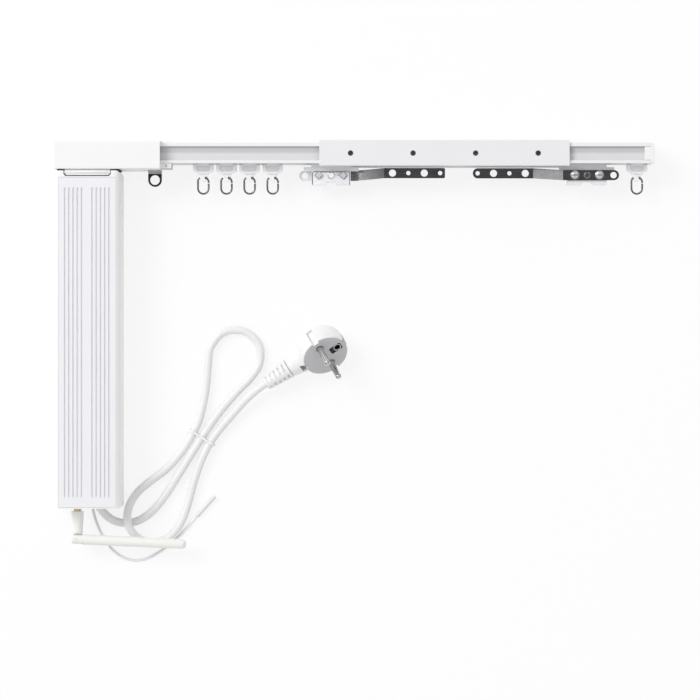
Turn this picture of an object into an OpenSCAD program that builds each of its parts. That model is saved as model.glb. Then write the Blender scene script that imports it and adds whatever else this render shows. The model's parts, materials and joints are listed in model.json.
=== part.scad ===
// Electric curtain track: a belt-driven track in two lengths joined by a sleeve, a drive head with
// a hanging motor, two overlapping carriers, hook gliders, a folding antenna and a mains lead.
// It lies on its back: X runs along the track, Y points up when it hangs, Z points at the viewer.

/* [Track] */
// Width of the track from back to front
track_w = 30; // [28:0.5:36]
// Height of the track
track_h = 16; // [15.5:0.5:20]
// Thickness of the track roof
roof_t = 1.6; // [1.2:0.1:2]
// Height of the band above each side groove
band_h = 2.9; // [2.4:0.1:3.5]
// Height of the bottom flanges
flange_h = 2.2; // [1.8:0.1:2.4]
// Depth of the side grooves
groove_in = 2.5; // [2:0.1:2.8]
// Thickness of the side webs
web_t = 1.4; // [1.1:0.1:1.6]
// Width of the slot along the underside
slot_w = 9; // [8.4:0.1:10]
// Distance from the drive axis to the far end of the track
track_end = 440.7; // [430:0.1:520]
// Thickness of the end cap
cap_t = 2.5; // [2:0.1:4]

/* [Sleeve] */
// Length of the joining sleeve
sleeve_l = 195.8; // [180:0.2:210]
// Distance from the drive axis to the near end of the sleeve
sleeve_at = 181; // [178:0.5:190]
// Wall thickness of the sleeve
sleeve_wall = 2; // [1.6:0.1:2.4]
// Width of the opening along the underside of the sleeve
sleeve_slot = 17; // [15:0.5:20]
// Radius of the four set screws
set_r = 2.1; // [1.5:0.1:2.5]
// Distance between neighbouring set screws
set_pitch = 48.9; // [40:0.1:55]

/* [Drive head] */
// Length of the drive head
head_l = 82.1; // [76:0.1:90]
// Length of the drive head on the near side of the drive axis
head_over = 25.5; // [24:0.1:30]
// Height of the drive head
head_h = 22.3; // [22.3:0.1:26]
// Depth of the drive head from back to front
head_d = 40; // [38:0.5:46]
// Wall thickness of the drive head
head_wall = 2; // [1.6:0.1:2.4]
// Thickness of the plate that closes the drive head
base_t = 2.4; // [2:0.1:3]
// Length of the tongues that grip the track
tongue_l = 8.8; // [6:0.1:12]
// Hole radius of the black end eye
eye_hole_r = 3.8; // [3:0.1:4.2]
// Outer radius of the black end eye
eye_r = 5.35; // [5:0.05:6]
// Thickness of the black end eye
eye_t = 3.4; // [2.4:0.1:4]

/* [Belt drive] */
// Radius of the belt at its mid thickness
belt_r = 9; // [8.6:0.1:9.4]
// Thickness of the belt
belt_t = 1.4; // [1:0.1:1.6]
// Height of the belt
belt_h = 5; // [4:0.1:5.4]
// Number of grooves round each pulley
pulley_teeth = 18; // [14:1:20]

/* [Motor] */
// Width of the motor case
motor_w = 52; // [50:0.5:60]
// Depth of the motor case from back to front
motor_d = 40; // [40:0.5:46]
// Length of the motor from shoulder to foot
motor_l = 264; // [250:1:300]
// Wall thickness of the motor case
case_wall = 2.2; // [1.8:0.1:2.6]
// Radius of the two front edges of the motor
motor_edge_r = 5; // [3:0.5:7]
// Height of the cap on the motor
cap_h = 5.2; // [5:0.1:7]
// Width of the grooved front panel
panel_w = 45; // [42:0.5:46]
// Thickness of the grooved front panel
panel_t = 1.8; // [1.4:0.1:2]
// Width of each panel groove
rib_w = 1.5; // [1:0.1:1.8]
// Depth of each panel groove
rib_depth = 1.1; // [0.6:0.1:1.2]
// Distance between neighbouring panel grooves
rib_pitch = 3.3; // [2.8:0.1:3.5]
// Distance from the middle of the panel to the middle of each group of grooves
rib_group = 10.7; // [9:0.1:12]
// Radius of the gear reducer and of the motor can
can_r = 14; // [12:0.5:14.4]
// Travel of the release latch
latch_travel = 2.5; // [1.5:0.1:2.8]

/* [Carriers] */
// Length of the carrier block
block_l = 30.8; // [28:0.1:36]
// Depth of the carrier block
block_d = 10; // [9:0.1:11]
// Height of the carrier arm strip
arm_h = 8; // [7:0.1:9]
// Thickness of the carrier arm strip
arm_t = 1.5; // [1.2:0.1:1.8]
// Distance from the block to the free end of the arm
arm_reach = 89.5; // [86:0.5:95]
// Sideways step of the bent arm
arm_step = 7.5; // [7.3:0.1:8]
// Rise of the bent arm
arm_rise = 1.8; // [1:0.1:2.5]
// Radius of the carrier wheels
wheel_r = 4; // [3.4:0.1:4.2]
// Distance from the carrier middle to each wheel axle
wheel_x = 11; // [10:0.1:12]

/* [Gliders] */
// Width of a glider
glider_w = 15.9; // [14:0.1:17]
// Depth of a glider below the track
glider_d = 7; // [5:0.1:7.6]
// Wire radius of the glider hooks
wire_r = 0.7; // [0.5:0.05:0.8]
// Half the width of a glider hook, to the middle of the wire
hook_r = 4.2; // [4:0.1:4.6]
// Distance between neighbouring gliders
glider_pitch = 18.2; // [17.5:0.1:20]

/* [Antenna] */
// Radius of the antenna sleeve at the motor
sleeve_top_r = 4.95; // [4.5:0.05:5.5]
// Length of the antenna sleeve
ant_sleeve_l = 17.6; // [14:0.1:24]
// Radius of the antenna rod at the hinge
rod_r = 4.1; // [3.8:0.1:4.4]
// Radius of the antenna rod at its free end
rod_tip_r = 3.8; // [3:0.1:4.1]
// Length of the antenna rod from the hinge
rod_l = 82; // [60:1:110]
// Droop of the folded antenna rod in degrees
rod_droop = 2.7; // [0:0.1:5]

/* [Mains lead] */
// Diameter of the mains lead
lead_d = 6.4; // [6:0.1:6.5]
// Diameter of the thin aerial wire
aerial_d = 2.2; // [1.6:0.1:2.4]
// Radius of the plug face
plug_r = 18.6; // [18:0.1:19]
// Depth of the plug body
plug_d = 24; // [22:0.5:26]
// Radius of the plug pins
pin_r = 2.4; // [2:0.05:2.5]
// Length of the plug pins outside the plug
pin_l = 19; // [17:0.5:20]
// Distance between the two plug pins
pin_gap = 19; // [18:0.5:20]

/* [Clearances] */
// Gap between pieces that slide past each other
slide_gap = 0.3; // [0.2:0.05:0.4]
// Gap between fixed pieces that fit into each other
fit_gap = 0.15; // [0.05:0.05:0.2]
// Gap between a pin and the hole it turns in
run_gap = 0.05; // [0.02:0.01:0.1]

/* [Hidden] */
$fn = 48;
white = [0.96, 0.96, 0.95];
grey = [0.82, 0.83, 0.84];
steel = [0.45, 0.46, 0.48];
dark = [0.12, 0.12, 0.13];
brass = [0.80, 0.66, 0.32];
green = [0.16, 0.40, 0.24];

// Track and sleeve
track_half = track_w / 2;
mid_z = track_half + fit_gap + sleeve_wall;
track_y = 5;
track_top = track_y + track_h;
floor_y = track_y + flange_h;
inner_half = track_half - groove_in - web_t;
sleeve_mid = sleeve_at + sleeve_l / 2;
sleeve_y = track_y - fit_gap - sleeve_wall;
sleeve_top = track_top + fit_gap + sleeve_wall;
groove_mid = (floor_y + track_top - band_h) / 2;
track_in = 30;

// Drive head
head_x0 = -head_over;
head_x1 = head_l - head_over;
head_roof = head_h - head_wall;
bush_r = 4.5;
hub_r = 4.5;
hub_bush_r = 6;
spigot_r = 11.6;
spigot_h = 1.3;
column_r = 2.2;
screw_r = 1.1;
screw_spots = [[-20, 6], [-20, 33.5], [24, 4.2], [25, 35.4]];
head_screw_l = 7;
boss_h = 7;
boss_wall = 2.4;
tab_z = [9.5, 14.5];
tab_screw = [4.6, 2.8];
tab_screw_r = 0.8;
tab_screw_l = 3.2;
eye_x = 51.7;
eye_y = -7.6;
strap_h = 2.9;
strap_t = 0.8;

// Belt drive
belt_y = 12.3;
belt_in = belt_r - belt_t / 2;
belt_out = belt_r + belt_t / 2;
pulley_tip = belt_in - slide_gap;
pulley_y0 = belt_y - 0.3;
pulley_h = belt_h + 0.6;
rim_t = 0.6;
rim_r = belt_out + 0.6;
idler_x = track_end - rim_r - 1.5;
axle_r = 1.5;
hex_r = 3.2;

// Motor
motor_y1 = -1.2;
cap_y0 = motor_y1 - cap_h;
motor_y0 = motor_y1 - motor_l;
panel_h = motor_l - cap_h - 1;
front_wall = panel_t + 1.8;
foot_t = 4;
foot_r = 2.6;
shoulder_r = 4;
cavity_x = motor_w / 2 - case_wall;
cavity_z1 = motor_d - front_wall;
cavity_zm = (case_wall + cavity_z1) / 2;
post_x = cavity_x - 2.4;
post_zs = [case_wall + 2.4, cavity_z1 - 2.4];
post_r = 2.6;
case_screw_l = 8;
pocket_half = 18.5;
latch_d = 9.6;
latch_in = 0.6;
pocket_z = motor_d - latch_in - latch_d - latch_travel - 1.1;
pocket_y = cap_y0 + 0.8;
latch_half = pocket_half - 0.6;
latch_h = 2.7;
latch_cut = 1.6;
reducer_l = 45;
can_l = 95;
board_y1 = motor_y0 + 86;
board_l = 72;
board_z = 12;
board_t = 1.6;
large_can = [6, 14];
small_can = [4, 11];
relay_size = [16, 16, 13];
choke_size = [16, 10, 9];
chip_size = [14, 10, 3];

// Carriers
left_in = 9.3;
right_in = 49.4;
left_x = sleeve_at + left_in;
right_x = track_end - right_in;
skid_half = 21.5;
skid_y1 = sleeve_y - slide_gap - 0.15;
block_y1 = -0.7;
block_y0 = -9.3;
foot_y = -11.5;
neck_z = slot_w / 2 - 0.6;
wheel_y = floor_y + 0.2 + wheel_r;
wheel_t = 2.4;
wheel_z = 5;
axle_w = 1;
arm_y = -4;
arm_z = -block_d / 2 - arm_t / 2;
bend_x0 = 19;
bend_x1 = 42;
screw_x = 9.6;
dome_r = 3.6;
dome_h = 1.9;
slot_half = 0.6;
plate_end = 25;
arm_corner = 1.2;
hole_pitch = 12.5;
hole_in = 3.8;
large_hole_r = 2.8;
small_hole_r = 1.7;
arm_holes = [for (k = [0 : 3])
    [arm_reach - hole_in - k * hole_pitch, k % 2 == 0 ? small_hole_r : large_hole_r]];

// Gliders
glider_xs = [for (i = [0 : 3]) 89.7 + i * glider_pitch];
glider_far = track_end - 9.9;
glider_top = floor_y + 3;
eye_bore_r = wire_r + 0.6;
nub_r = 2.3;
ring_y = -6;
hook_low = -14.2;
split_y = -10.4;

// Antenna
ant_x = -9.4;
ant_z = 16.5;
collar_r = 3.15;
collar_h = 2.7;
collar_y = motor_y0 - collar_h;
ant_y1 = collar_y - 0.2;
ant_y0 = ant_y1 - ant_sleeve_l;
hinge_y = ant_y0 - rod_r - 0.4;
tongue_z = 1.9;
hinge_r = 1.2;

// Mains lead: points the middle of the lead runs through, from the motor to the plug
lead_r = lead_d / 2;
lead_exit = [7, 0, 7.5];
lead_tilt = 35;
gland_r = 4.4;
lead_points = [
    [4.7, 3.3, 7.6], [7, 0, 7.5], [11, -5.3, 6], [17, -10.3, 4.4], [25, -12.8, 3.6], [33.5, -12.3, 3.4],
    [42, -8.8, 3.4], [50, -2.3, 3.4], [57.5, 6.7, 3.4], [64.5, 17.2, 3.5], [72, 29.2, 4], [80, 42.2, 4.6],
    [88, 54.7, 4.6], [97, 68.2, 4.4], [106.5, 80.5, 3.6], [116.8, 92, 3.4], [126.8, 102.2, 3.4],
    [133.6, 113.5, 3.4], [133, 128, 3.4], [121.4, 138.8, 3.4], [105.4, 138, 3.4], [95, 126.2, 3.4],
    [92.9, 113, 3.4], [92, 101.4, 3.6], [90.6, 89.6, 3.8], [88.2, 77.6, 4.3], [84.8, 66, 4.6],
    [77.2, 51.4, 4.6], [68.2, 38.5, 4.2], [58, 28.2, 3.8], [46.5, 19.6, 3.8], [36.8, 10.8, 5.6],
    [30.6, 0, 8.8], [29.8, -12, 11], [35.2, -22.4, 9], [45, -27.8, 5.8], [56, -27.4, 3.8],
    [65.2, -21.4, 3.4], [71.6, -12, 3.4], [76, -1, 3.4], [79.4, 11.4, 3.4], [83.2, 24.6, 3.8],
    [88, 37.7, 4.6], [94.6, 50.8, 4.6], [103, 62.2, 4.7], [112.5, 73.2, 6], [122.4, 84.2, 8.2],
    [132.5, 93.2, 10]
];
aerial_exit = [1.8, 0, 4.5];
aerial_points = [
    [1.8, 3.2, 4.6], [1.8, 0, 4.5], [2.6, -5.8, 3.8], [5, -13.8, 2.2], [9, -22.8, 1.3], [15, -31.8, 1.2],
    [23, -38.8, 1.2], [32, -42.3, 1.2], [42, -41.8, 1.2], [52, -37.3, 1.2], [61.5, -30.8, 1.2],
    [70.5, -22.8, 1.2], [82, -9.8, 1.7], [84, -7.4, 1.9]
];
tip_r = 1.8;
tip_l = 21;
tie_at = [88, 54.8, 4.6];
tie_turn = 57.6;
lane = 7.4;
strap_w = 1.8;
tie_wall = 0.9;

// Plug: middle of its face, and its turns
plug_at = [186, 119.2, 24.6];
plug_turn = -56;
plug_lift = 5.8;
plug_roll = 44.3;
neck_n = -12;
neck_v = -30;
relief_l = 23;
relief_r = 6.4;
plug_v = [-sin(plug_turn) * cos(plug_lift), cos(plug_turn) * cos(plug_lift), sin(plug_lift)];
plug_n0 = [sin(plug_roll), -cos(plug_roll) * sin(plug_lift), cos(plug_roll) * cos(plug_lift)];
plug_n = [
    plug_n0[0] * cos(plug_turn) - plug_n0[1] * sin(plug_turn),
    plug_n0[0] * sin(plug_turn) + plug_n0[1] * cos(plug_turn),
    plug_n0[2]
];
function plug_point(v) = plug_at + neck_n * plug_n + v * plug_v;
lead_route = concat(lead_points, [for (v = [-53, -42, -31]) plug_point(v)]);

// Middle of the outline, which is put over the origin
box_x0 = min(-motor_w / 2, head_x0);
box_x1 = track_end + cap_t;
box_y0 = hinge_y - rod_l * sin(rod_droop) - rod_tip_r;
box_y1 = max(sleeve_top, head_h);
box_mid = [(box_x0 + box_x1) / 2, (box_y0 + box_y1) / 2, 0];

// Smooth line through the points of a route
function spline(a, b, c, d, t) = 0.5 * (2 * b + (c - a) * t + (2 * a - 5 * b + 4 * c - d) * t * t
    + (3 * b - a - 3 * c + d) * t * t * t);
function at_end(p, i) = i < 0 ? 2 * p[0] - p[1] : i >= len(p) ? 2 * p[len(p) - 1] - p[len(p) - 2] : p[i];
function smooth(p, n) = concat(
    [for (i = [0 : len(p) - 2], k = [0 : n - 1])
        spline(at_end(p, i - 1), p[i], p[i + 1], at_end(p, i + 2), k / n)],
    [p[len(p) - 1]]
);
function unit(v) = v / norm(v);
function heading(p, i) = unit(p[min(i + 1, len(p) - 1)] - p[max(i - 1, 0)]);
function side_of(t) = unit([t[1], -t[0], 0]);
function tube_points(p, r, n) = [for (i = [0 : len(p) - 1], k = [0 : n - 1])
    let (t = heading(p, i), s = side_of(t), u = cross(s, t))
    p[i] + r * (cos(360 * k / n) * s + sin(360 * k / n) * u)];
function tube_faces(m, n) = concat(
    [[for (k = [0 : n - 1]) k]],
    [for (i = [0 : m - 2], k = [0 : n - 1])
        [i * n + k, (i + 1) * n + k, (i + 1) * n + (k + 1) % n, i * n + (k + 1) % n]],
    [[for (k = [n - 1 : -1 : 0]) (m - 1) * n + k]]
);
lead_line = smooth(lead_route, 2);
aerial_line = smooth(aerial_points, 2);
lead_gap = min([for (i = [0 : len(lead_line) - 1], j = [i + 5 : 1 : len(lead_line) - 1])
    norm(lead_line[i] - lead_line[j])]) - lead_d;
echo(least_gap_of_the_lead_to_itself = lead_gap);

// Puts the middle of the outline over the origin
module place() {
    translate(-box_mid) children();
}

// Profile drawn as [y, z], run along X
module along_x(x, l) {
    translate([x, 0, 0]) rotate([90, 0, 90]) linear_extrude(l) children();
}

// Profile drawn as [x, z], run downwards from a height
module along_y(y, l) {
    translate([0, y, 0]) rotate([90, 0, 0]) linear_extrude(l) children();
}

// Round piece standing on the Y axis, from a top height downwards
module post(x, y, z, r, l) {
    translate([x, y, z]) rotate([90, 0, 0]) cylinder(r = r, h = l);
}

// Round piece lying along Z
module bar_z(x, y, z, r, l) {
    translate([x, y, z]) cylinder(r = r, h = l);
}

// Box from its low corner to its high corner
module box(a, b) {
    translate(a) cube(b - a);
}

module round_rect(w, h, r) {
    square([w - 2 * r, h], center = true);
    square([w, h - 2 * r], center = true);
    for (sx = [-1, 1], sy = [-1, 1])
        translate([sx * (w / 2 - r), sy * (h / 2 - r)]) circle(r);
}

module track_profile() {
    difference() {
        translate([track_y, mid_z - track_half]) square([track_h, track_w]);
        translate([floor_y, mid_z - inner_half]) square([track_h - flange_h - roof_t, 2 * inner_half]);
        translate([track_y - 1, mid_z - slot_w / 2]) square([flange_h + 2, slot_w]);
        for (z = [mid_z - track_half - 1, mid_z + track_half - groove_in])
            translate([floor_y, z]) square([track_h - flange_h - band_h, groove_in + 1]);
    }
}

module track_left() {
    color(white) place() along_x(track_in, sleeve_mid - track_in) track_profile();
}

module track_right() {
    color(white) place() difference() {
        along_x(sleeve_mid, track_end - sleeve_mid) track_profile();
        post(idler_x, track_top + 1, mid_z, axle_r + run_gap, roof_t + 2);
    }
}

module joint_sleeve() {
    color(white) place() difference() {
        along_x(sleeve_at, sleeve_l) difference() {
            translate([(sleeve_y + sleeve_top) / 2, mid_z])
                round_rect(sleeve_top - sleeve_y, 2 * mid_z, 0.8);
            translate([track_y - fit_gap, mid_z - track_half - fit_gap])
                square([track_h + 2 * fit_gap, track_w + 2 * fit_gap]);
            translate([sleeve_y - 1, mid_z - sleeve_slot / 2]) square([sleeve_wall + 2, sleeve_slot]);
        }
        for (i = [-1.5 : 1 : 1.5])
            bar_z(sleeve_mid + i * set_pitch, groove_mid, mid_z + track_half, set_r + run_gap,
                sleeve_wall + 2);
    }
}

module sleeve_screws() {
    z0 = mid_z + track_half - groove_in;
    z1 = 2 * mid_z - 0.3;
    color(dark) place() for (i = [-1.5 : 1 : 1.5])
        difference() {
            bar_z(sleeve_mid + i * set_pitch, groove_mid, z0, set_r, z1 - z0);
            translate([sleeve_mid + i * set_pitch, groove_mid, z1 - 1.6])
                cylinder(r = 1.15, h = 2, $fn = 6);
        }
}

module head_housing() {
    color(white) place() {
        difference() {
            along_x(head_x0, head_l) translate([head_h / 2, head_d / 2]) round_rect(head_h, head_d, 1.2);
            box([head_x0 + head_wall, -1, head_wall], [head_x1 - head_wall, head_roof, head_d - head_wall]);
            box([track_in - fit_gap, track_y - fit_gap, mid_z - track_half - fit_gap],
                [head_x1 + 1, track_top + fit_gap, mid_z + track_half + fit_gap]);
        }
        difference() {
            post(0, head_roof, mid_z, bush_r + 2, 1.8);
            post(0, head_roof + 1, mid_z, bush_r + 0.02, 4);
        }
        for (s = screw_spots)
            difference() {
                post(s[0], head_roof, s[1], column_r, head_roof - base_t);
                post(s[0], base_t + head_screw_l + 1, s[1], screw_r + run_gap, head_screw_l + 2);
            }
        box([head_x1, track_top + fit_gap, mid_z - 12], [head_x1 + tongue_l, head_h, mid_z + 12]);
        for (s = [0, 1])
            difference() {
                box([head_x1, 1.2, mid_z + (s == 0 ? tab_z[0] : -tab_z[1])],
                    [head_x1 + tongue_l - 0.4, track_y - fit_gap, mid_z + (s == 0 ? tab_z[1] : -tab_z[0])]);
                bar_z(head_x1 + tab_screw[0], tab_screw[1],
                    mid_z + (s == 0 ? tab_z[1] - tab_screw_l - 0.3 : -tab_z[1] - 0.5),
                    tab_screw_r + run_gap, tab_screw_l + 0.8);
            }
    }
}

module head_base() {
    color(white) place() difference() {
        union() {
            box([head_x0 + head_wall + fit_gap, 0, head_wall + fit_gap],
                [head_x1 - head_wall - fit_gap, base_t, head_d - head_wall - fit_gap]);
            post(0, boss_h, mid_z, hub_bush_r + boss_wall, boss_h - base_t + 0.5);
        }
        post(0, spigot_h + 0.1, mid_z, spigot_r + fit_gap, 4);
        post(0, boss_h + 1, mid_z, hub_bush_r + 0.02, boss_h + 2);
        for (s = screw_spots) {
            post(s[0], base_t + 1, s[1], screw_r + run_gap, base_t + 2);
            post(s[0], 1.2, s[1], column_r + run_gap, 3);
        }
    }
}

module head_screws() {
    color(steel) place() {
        for (s = screw_spots) {
            post(s[0], 1.2, s[1], column_r, 1);
            post(s[0], base_t + head_screw_l, s[1], screw_r, base_t + head_screw_l - 1);
        }
        for (z = [mid_z + tab_z[1] - 0.1 - tab_screw_l, mid_z - tab_z[1] + 0.1])
            bar_z(head_x1 + tab_screw[0], tab_screw[1], z, tab_screw_r, tab_screw_l);
    }
}

module end_eye_strap() {
    color(grey) place() {
        box([eye_x - eye_r, -1.2, mid_z - 6], [eye_x + eye_r, 0, mid_z + 6]);
        for (z = [mid_z - eye_t / 2 - strap_t, mid_z + eye_t / 2])
            box([eye_x - eye_r, -strap_h, z], [eye_x + eye_r, -1.2, z + strap_t]);
    }
}

module end_eye() {
    color(dark) place() translate([0, 0, mid_z - eye_t / 2]) linear_extrude(eye_t) difference() {
        union() {
            translate([eye_x, eye_y]) circle(eye_r);
            translate([eye_x - eye_r, eye_y]) square([2 * eye_r, -1.2 - eye_y]);
        }
        translate([eye_x, eye_y]) circle(eye_hole_r);
    }
}

module pulley_bearings() {
    color(brass) place() {
        difference() {
            post(0, head_roof, mid_z, bush_r, 1.8);
            post(0, head_roof + 1, mid_z, 2.5 + run_gap, 4);
        }
        difference() {
            post(0, boss_h, mid_z, hub_bush_r, boss_h - spigot_h - 0.1);
            post(0, 8, mid_z, hub_r + run_gap, 8);
        }
    }
}

module loop_2d(r) {
    circle(r);
    translate([idler_x, 0]) circle(r);
    translate([0, -r]) square([idler_x, 2 * r]);
}

module belt() {
    color(dark) place() along_y(belt_y + belt_h, belt_h) translate([0, mid_z]) difference() {
        loop_2d(belt_out);
        loop_2d(belt_in);
    }
}

// Grooved pulley with two rims, its lower rim at the pulley height
module pulley(x) {
    difference() {
        post(x, pulley_y0 + pulley_h, mid_z, pulley_tip, pulley_h);
        for (i = [0 : pulley_teeth - 1])
            post(x + pulley_tip * cos(i * 360 / pulley_teeth), pulley_y0 + pulley_h + 1,
                mid_z + pulley_tip * sin(i * 360 / pulley_teeth), 0.7, pulley_h + 2);
    }
    post(x, pulley_y0, mid_z, rim_r, rim_t);
    post(x, pulley_y0 + pulley_h + rim_t, mid_z, rim_r, rim_t);
}

module drive_pulley() {
    color(grey) place() difference() {
        union() {
            pulley(0);
            post(0, head_roof - slide_gap, mid_z, 2.5, head_roof - pulley_y0);
            post(0, pulley_y0, mid_z, hub_r, pulley_y0 - 1.6);
        }
        translate([0, 7.8, mid_z]) rotate([90, 0, 0]) cylinder(r = hex_r + 0.1, h = 9, $fn = 6);
    }
}

module motor_coupling() {
    color(steel) place() {
        translate([0, 7, mid_z]) rotate([90, 0, 0]) cylinder(r = hex_r, h = 10, $fn = 6);
        post(0, -2, mid_z, 5, -2 - cap_y0 - slide_gap);
    }
}

module idler_pulley() {
    color(grey) place() difference() {
        pulley(idler_x);
        post(idler_x, track_top, mid_z, axle_r + run_gap, track_h);
    }
}

module idler_axle() {
    color(steel) place() {
        post(idler_x, track_top - 0.1, mid_z, axle_r, track_top - pulley_y0 + 0.9);
        post(idler_x, pulley_y0 - rim_t - slide_gap, mid_z, axle_r + 1.2, 0.8);
    }
}

module end_cap() {
    color(white) place() {
        along_x(track_end, cap_t) translate([track_y + track_h / 2, mid_z]) round_rect(track_h, track_w, 1);
        for (z = [mid_z - track_half, mid_z + track_half - groove_in + fit_gap])
            box([track_end - 5, floor_y + fit_gap, z],
                [track_end + 0.5, track_top - band_h - fit_gap, z + groove_in - fit_gap]);
    }
}

module case_outline(w, z0, z1, r_front, r_back) {
    translate([-w / 2, z0 + r_back]) square([w, z1 - z0 - r_front - r_back]);
    translate([-w / 2 + r_front, z1 - r_front]) square([w - 2 * r_front, r_front]);
    translate([-w / 2 + r_back, z0]) square([w - 2 * r_back, r_back]);
    for (s = [-1, 1]) {
        translate([s * (w / 2 - r_front), z1 - r_front]) circle(r_front);
        translate([s * (w / 2 - r_back), z0 + r_back]) circle(r_back);
    }
}

// Front outline of the motor with rounded shoulders and foot corners
module motor_front() {
    translate([-motor_w / 2, motor_y0 + foot_r]) square([motor_w, motor_l - foot_r - shoulder_r]);
    translate([-motor_w / 2 + foot_r, motor_y0]) square([motor_w - 2 * foot_r, foot_r + 0.4]);
    translate([-motor_w / 2 + shoulder_r, motor_y1 - shoulder_r - 0.2])
        square([motor_w - 2 * shoulder_r, shoulder_r + 0.2]);
    for (s = [-1, 1]) {
        translate([s * (motor_w / 2 - foot_r), motor_y0 + foot_r]) circle(foot_r);
        translate([s * (motor_w / 2 - shoulder_r), motor_y1 - shoulder_r]) circle(shoulder_r);
    }
}

module motor_case() {
    color(white) place() {
        difference() {
            intersection() {
                along_y(cap_y0, motor_l - cap_h) case_outline(motor_w, 0, motor_d, motor_edge_r, 3);
                translate([0, 0, -1]) linear_extrude(motor_d + 2) motor_front();
            }
            along_y(cap_y0 + 1, motor_l) translate([0, cavity_zm])
                round_rect(2 * cavity_x, cavity_z1 - case_wall, 1.2);
            box([-panel_w / 2 - fit_gap, cap_y0 - panel_h - fit_gap, motor_d - panel_t],
                [panel_w / 2 + fit_gap, cap_y0 + 1, motor_d + 1]);
        }
        for (sx = [-1, 1], z = post_zs)
            difference() {
                post(sx * post_x, motor_y0 + foot_t + case_screw_l + 4, z, post_r, case_screw_l + 4);
                post(sx * post_x, motor_y0 + foot_t + case_screw_l + 1, z,
                    screw_r + run_gap, case_screw_l + 2);
            }
        for (s = [-1, 1])
            box([s > 0 ? cavity_x - 2.5 : -cavity_x - 0.5, board_y1 - board_l, board_z - board_t],
                [s > 0 ? cavity_x + 0.5 : -cavity_x + 2.5, board_y1, board_z]);
    }
}

module motor_panel() {
    z1 = motor_d - 0.2;
    y1 = cap_y0 - fit_gap;
    long = panel_h - 16;
    color(grey) place() difference() {
        box([-panel_w / 2, cap_y0 - panel_h, motor_d - panel_t], [panel_w / 2, y1, z1]);
        for (g = [-rib_group, rib_group], i = [-2 : 2])
            translate([g + i * rib_pitch, y1 - panel_h / 2, z1 - rib_depth]) linear_extrude(rib_depth + 1) {
                square([rib_w, long - rib_w], center = true);
                for (s = [-1, 1]) translate([0, s * (long - rib_w) / 2]) circle(rib_w / 2);
            }
    }
}

// Strip with its two lower corners cut at a slant
module slanted(half, y0, y1, cut) {
    polygon([
        [-half, y1], [-half, y0 + cut], [-half + cut, y0],
        [half - cut, y0], [half, y0 + cut], [half, y1]
    ]);
}

module motor_head_cap() {
    color(white) place() difference() {
        union() {
            intersection() {
                along_y(motor_y1, cap_h) case_outline(motor_w, 0, motor_d, motor_edge_r, 3);
                translate([0, 0, -1]) linear_extrude(motor_d + 2) motor_front();
            }
            box([-17, motor_y1 - 1, mid_z - 12], [17, 0, mid_z + 12]);
            post(0, spigot_h, mid_z, spigot_r, spigot_h + 2);
        }
        post(0, 5, mid_z, 6, 20);
        translate([0, 0, pocket_z]) linear_extrude(motor_d + 1 - pocket_z)
            slanted(pocket_half, pocket_y, motor_y1 + 0.01, latch_cut);
        box([-pocket_half, motor_y1 - 0.01, mid_z + 11], [pocket_half, 0.01, motor_d + 1]);
    }
}

module release_latch() {
    y0 = pocket_y + slide_gap;
    z1 = motor_d - latch_in;
    color(white) place() difference() {
        translate([0, 0, z1 - latch_d]) linear_extrude(latch_d)
            slanted(latch_half, y0, y0 + latch_h, latch_cut);
        for (i = [-3 : 3])
            box([i * 4 - 0.5, y0 + latch_h - 0.5, z1 - 7.4], [i * 4 + 0.5, y0 + latch_h + 1, z1 - 1.4]);
    }
}

module motor_foot_cap() {
    color(white) place() difference() {
        along_y(motor_y0 + foot_t, foot_t) translate([0, cavity_zm])
            round_rect(2 * (cavity_x - fit_gap), cavity_z1 - case_wall - 2 * fit_gap, 1.1);
        post(ant_x, motor_y0 + 5, ant_z, collar_r + run_gap, 6);
        post(lead_exit[0], motor_y0 + 5, lead_exit[2], gland_r + run_gap, 6);
        translate([lead_exit[0], motor_y0, lead_exit[2]]) lead_bore();
        post(aerial_exit[0], motor_y0 + 5, aerial_exit[2], aerial_d / 2 + fit_gap, 6);
        for (sx = [-1, 1], z = post_zs) {
            post(sx * post_x, motor_y0 + 5, z, screw_r + run_gap, 6);
            post(sx * post_x, motor_y0 + 1.4, z, column_r + run_gap, 2);
        }
    }
}

module case_screws() {
    color(steel) place() for (sx = [-1, 1], z = post_zs) {
        post(sx * post_x, motor_y0 + 1.4, z, column_r, 1.2);
        post(sx * post_x, motor_y0 + foot_t + case_screw_l, z, screw_r, foot_t + case_screw_l - 0.5);
    }
}

module gear_reducer() {
    color(steel) place() post(0, cap_y0, mid_z, can_r, reducer_l);
}

module motor_can() {
    color(steel) place() {
        post(0, cap_y0 - reducer_l, mid_z, can_r - 0.4, can_l);
        post(0, cap_y0 - reducer_l - can_l, mid_z, 5, 4);
    }
}

// Block-shaped piece soldered to the board, by its middle
module on_board(x, down, size) {
    translate([x - size[0] / 2, board_y1 - down - size[1] / 2, board_z + board_t - 0.6])
        cube([size[0], size[1], size[2] + 0.6]);
}

module control_board() {
    top = board_z + board_t;
    color(green) place() {
        box([-cavity_x + fit_gap, board_y1 - board_l, board_z],
            [cavity_x - fit_gap, board_y1, top]);
        bar_z(-cavity_x / 2, board_y1 - board_l * 0.2, top - 0.6, large_can[0], large_can[1] + 0.6);
        bar_z(cavity_x * 0.2, board_y1 - board_l * 0.18, top - 0.6, small_can[0], small_can[1] + 0.6);
        on_board(0, board_l * 0.5, relay_size);
        on_board(-cavity_x * 0.42, board_l * 0.85, choke_size);
        on_board(cavity_x * 0.46, board_l * 0.82, chip_size);
    }
}

module antenna_connector() {
    color(brass) place() {
        post(ant_x, motor_y0 + foot_t + 3, ant_z, collar_r, foot_t + 3 + collar_h);
        post(ant_x, motor_y0 + foot_t + 2, ant_z, collar_r + 1.8, 2);
        post(ant_x, collar_y + 0.1, ant_z, 2, 5);
    }
}

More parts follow.
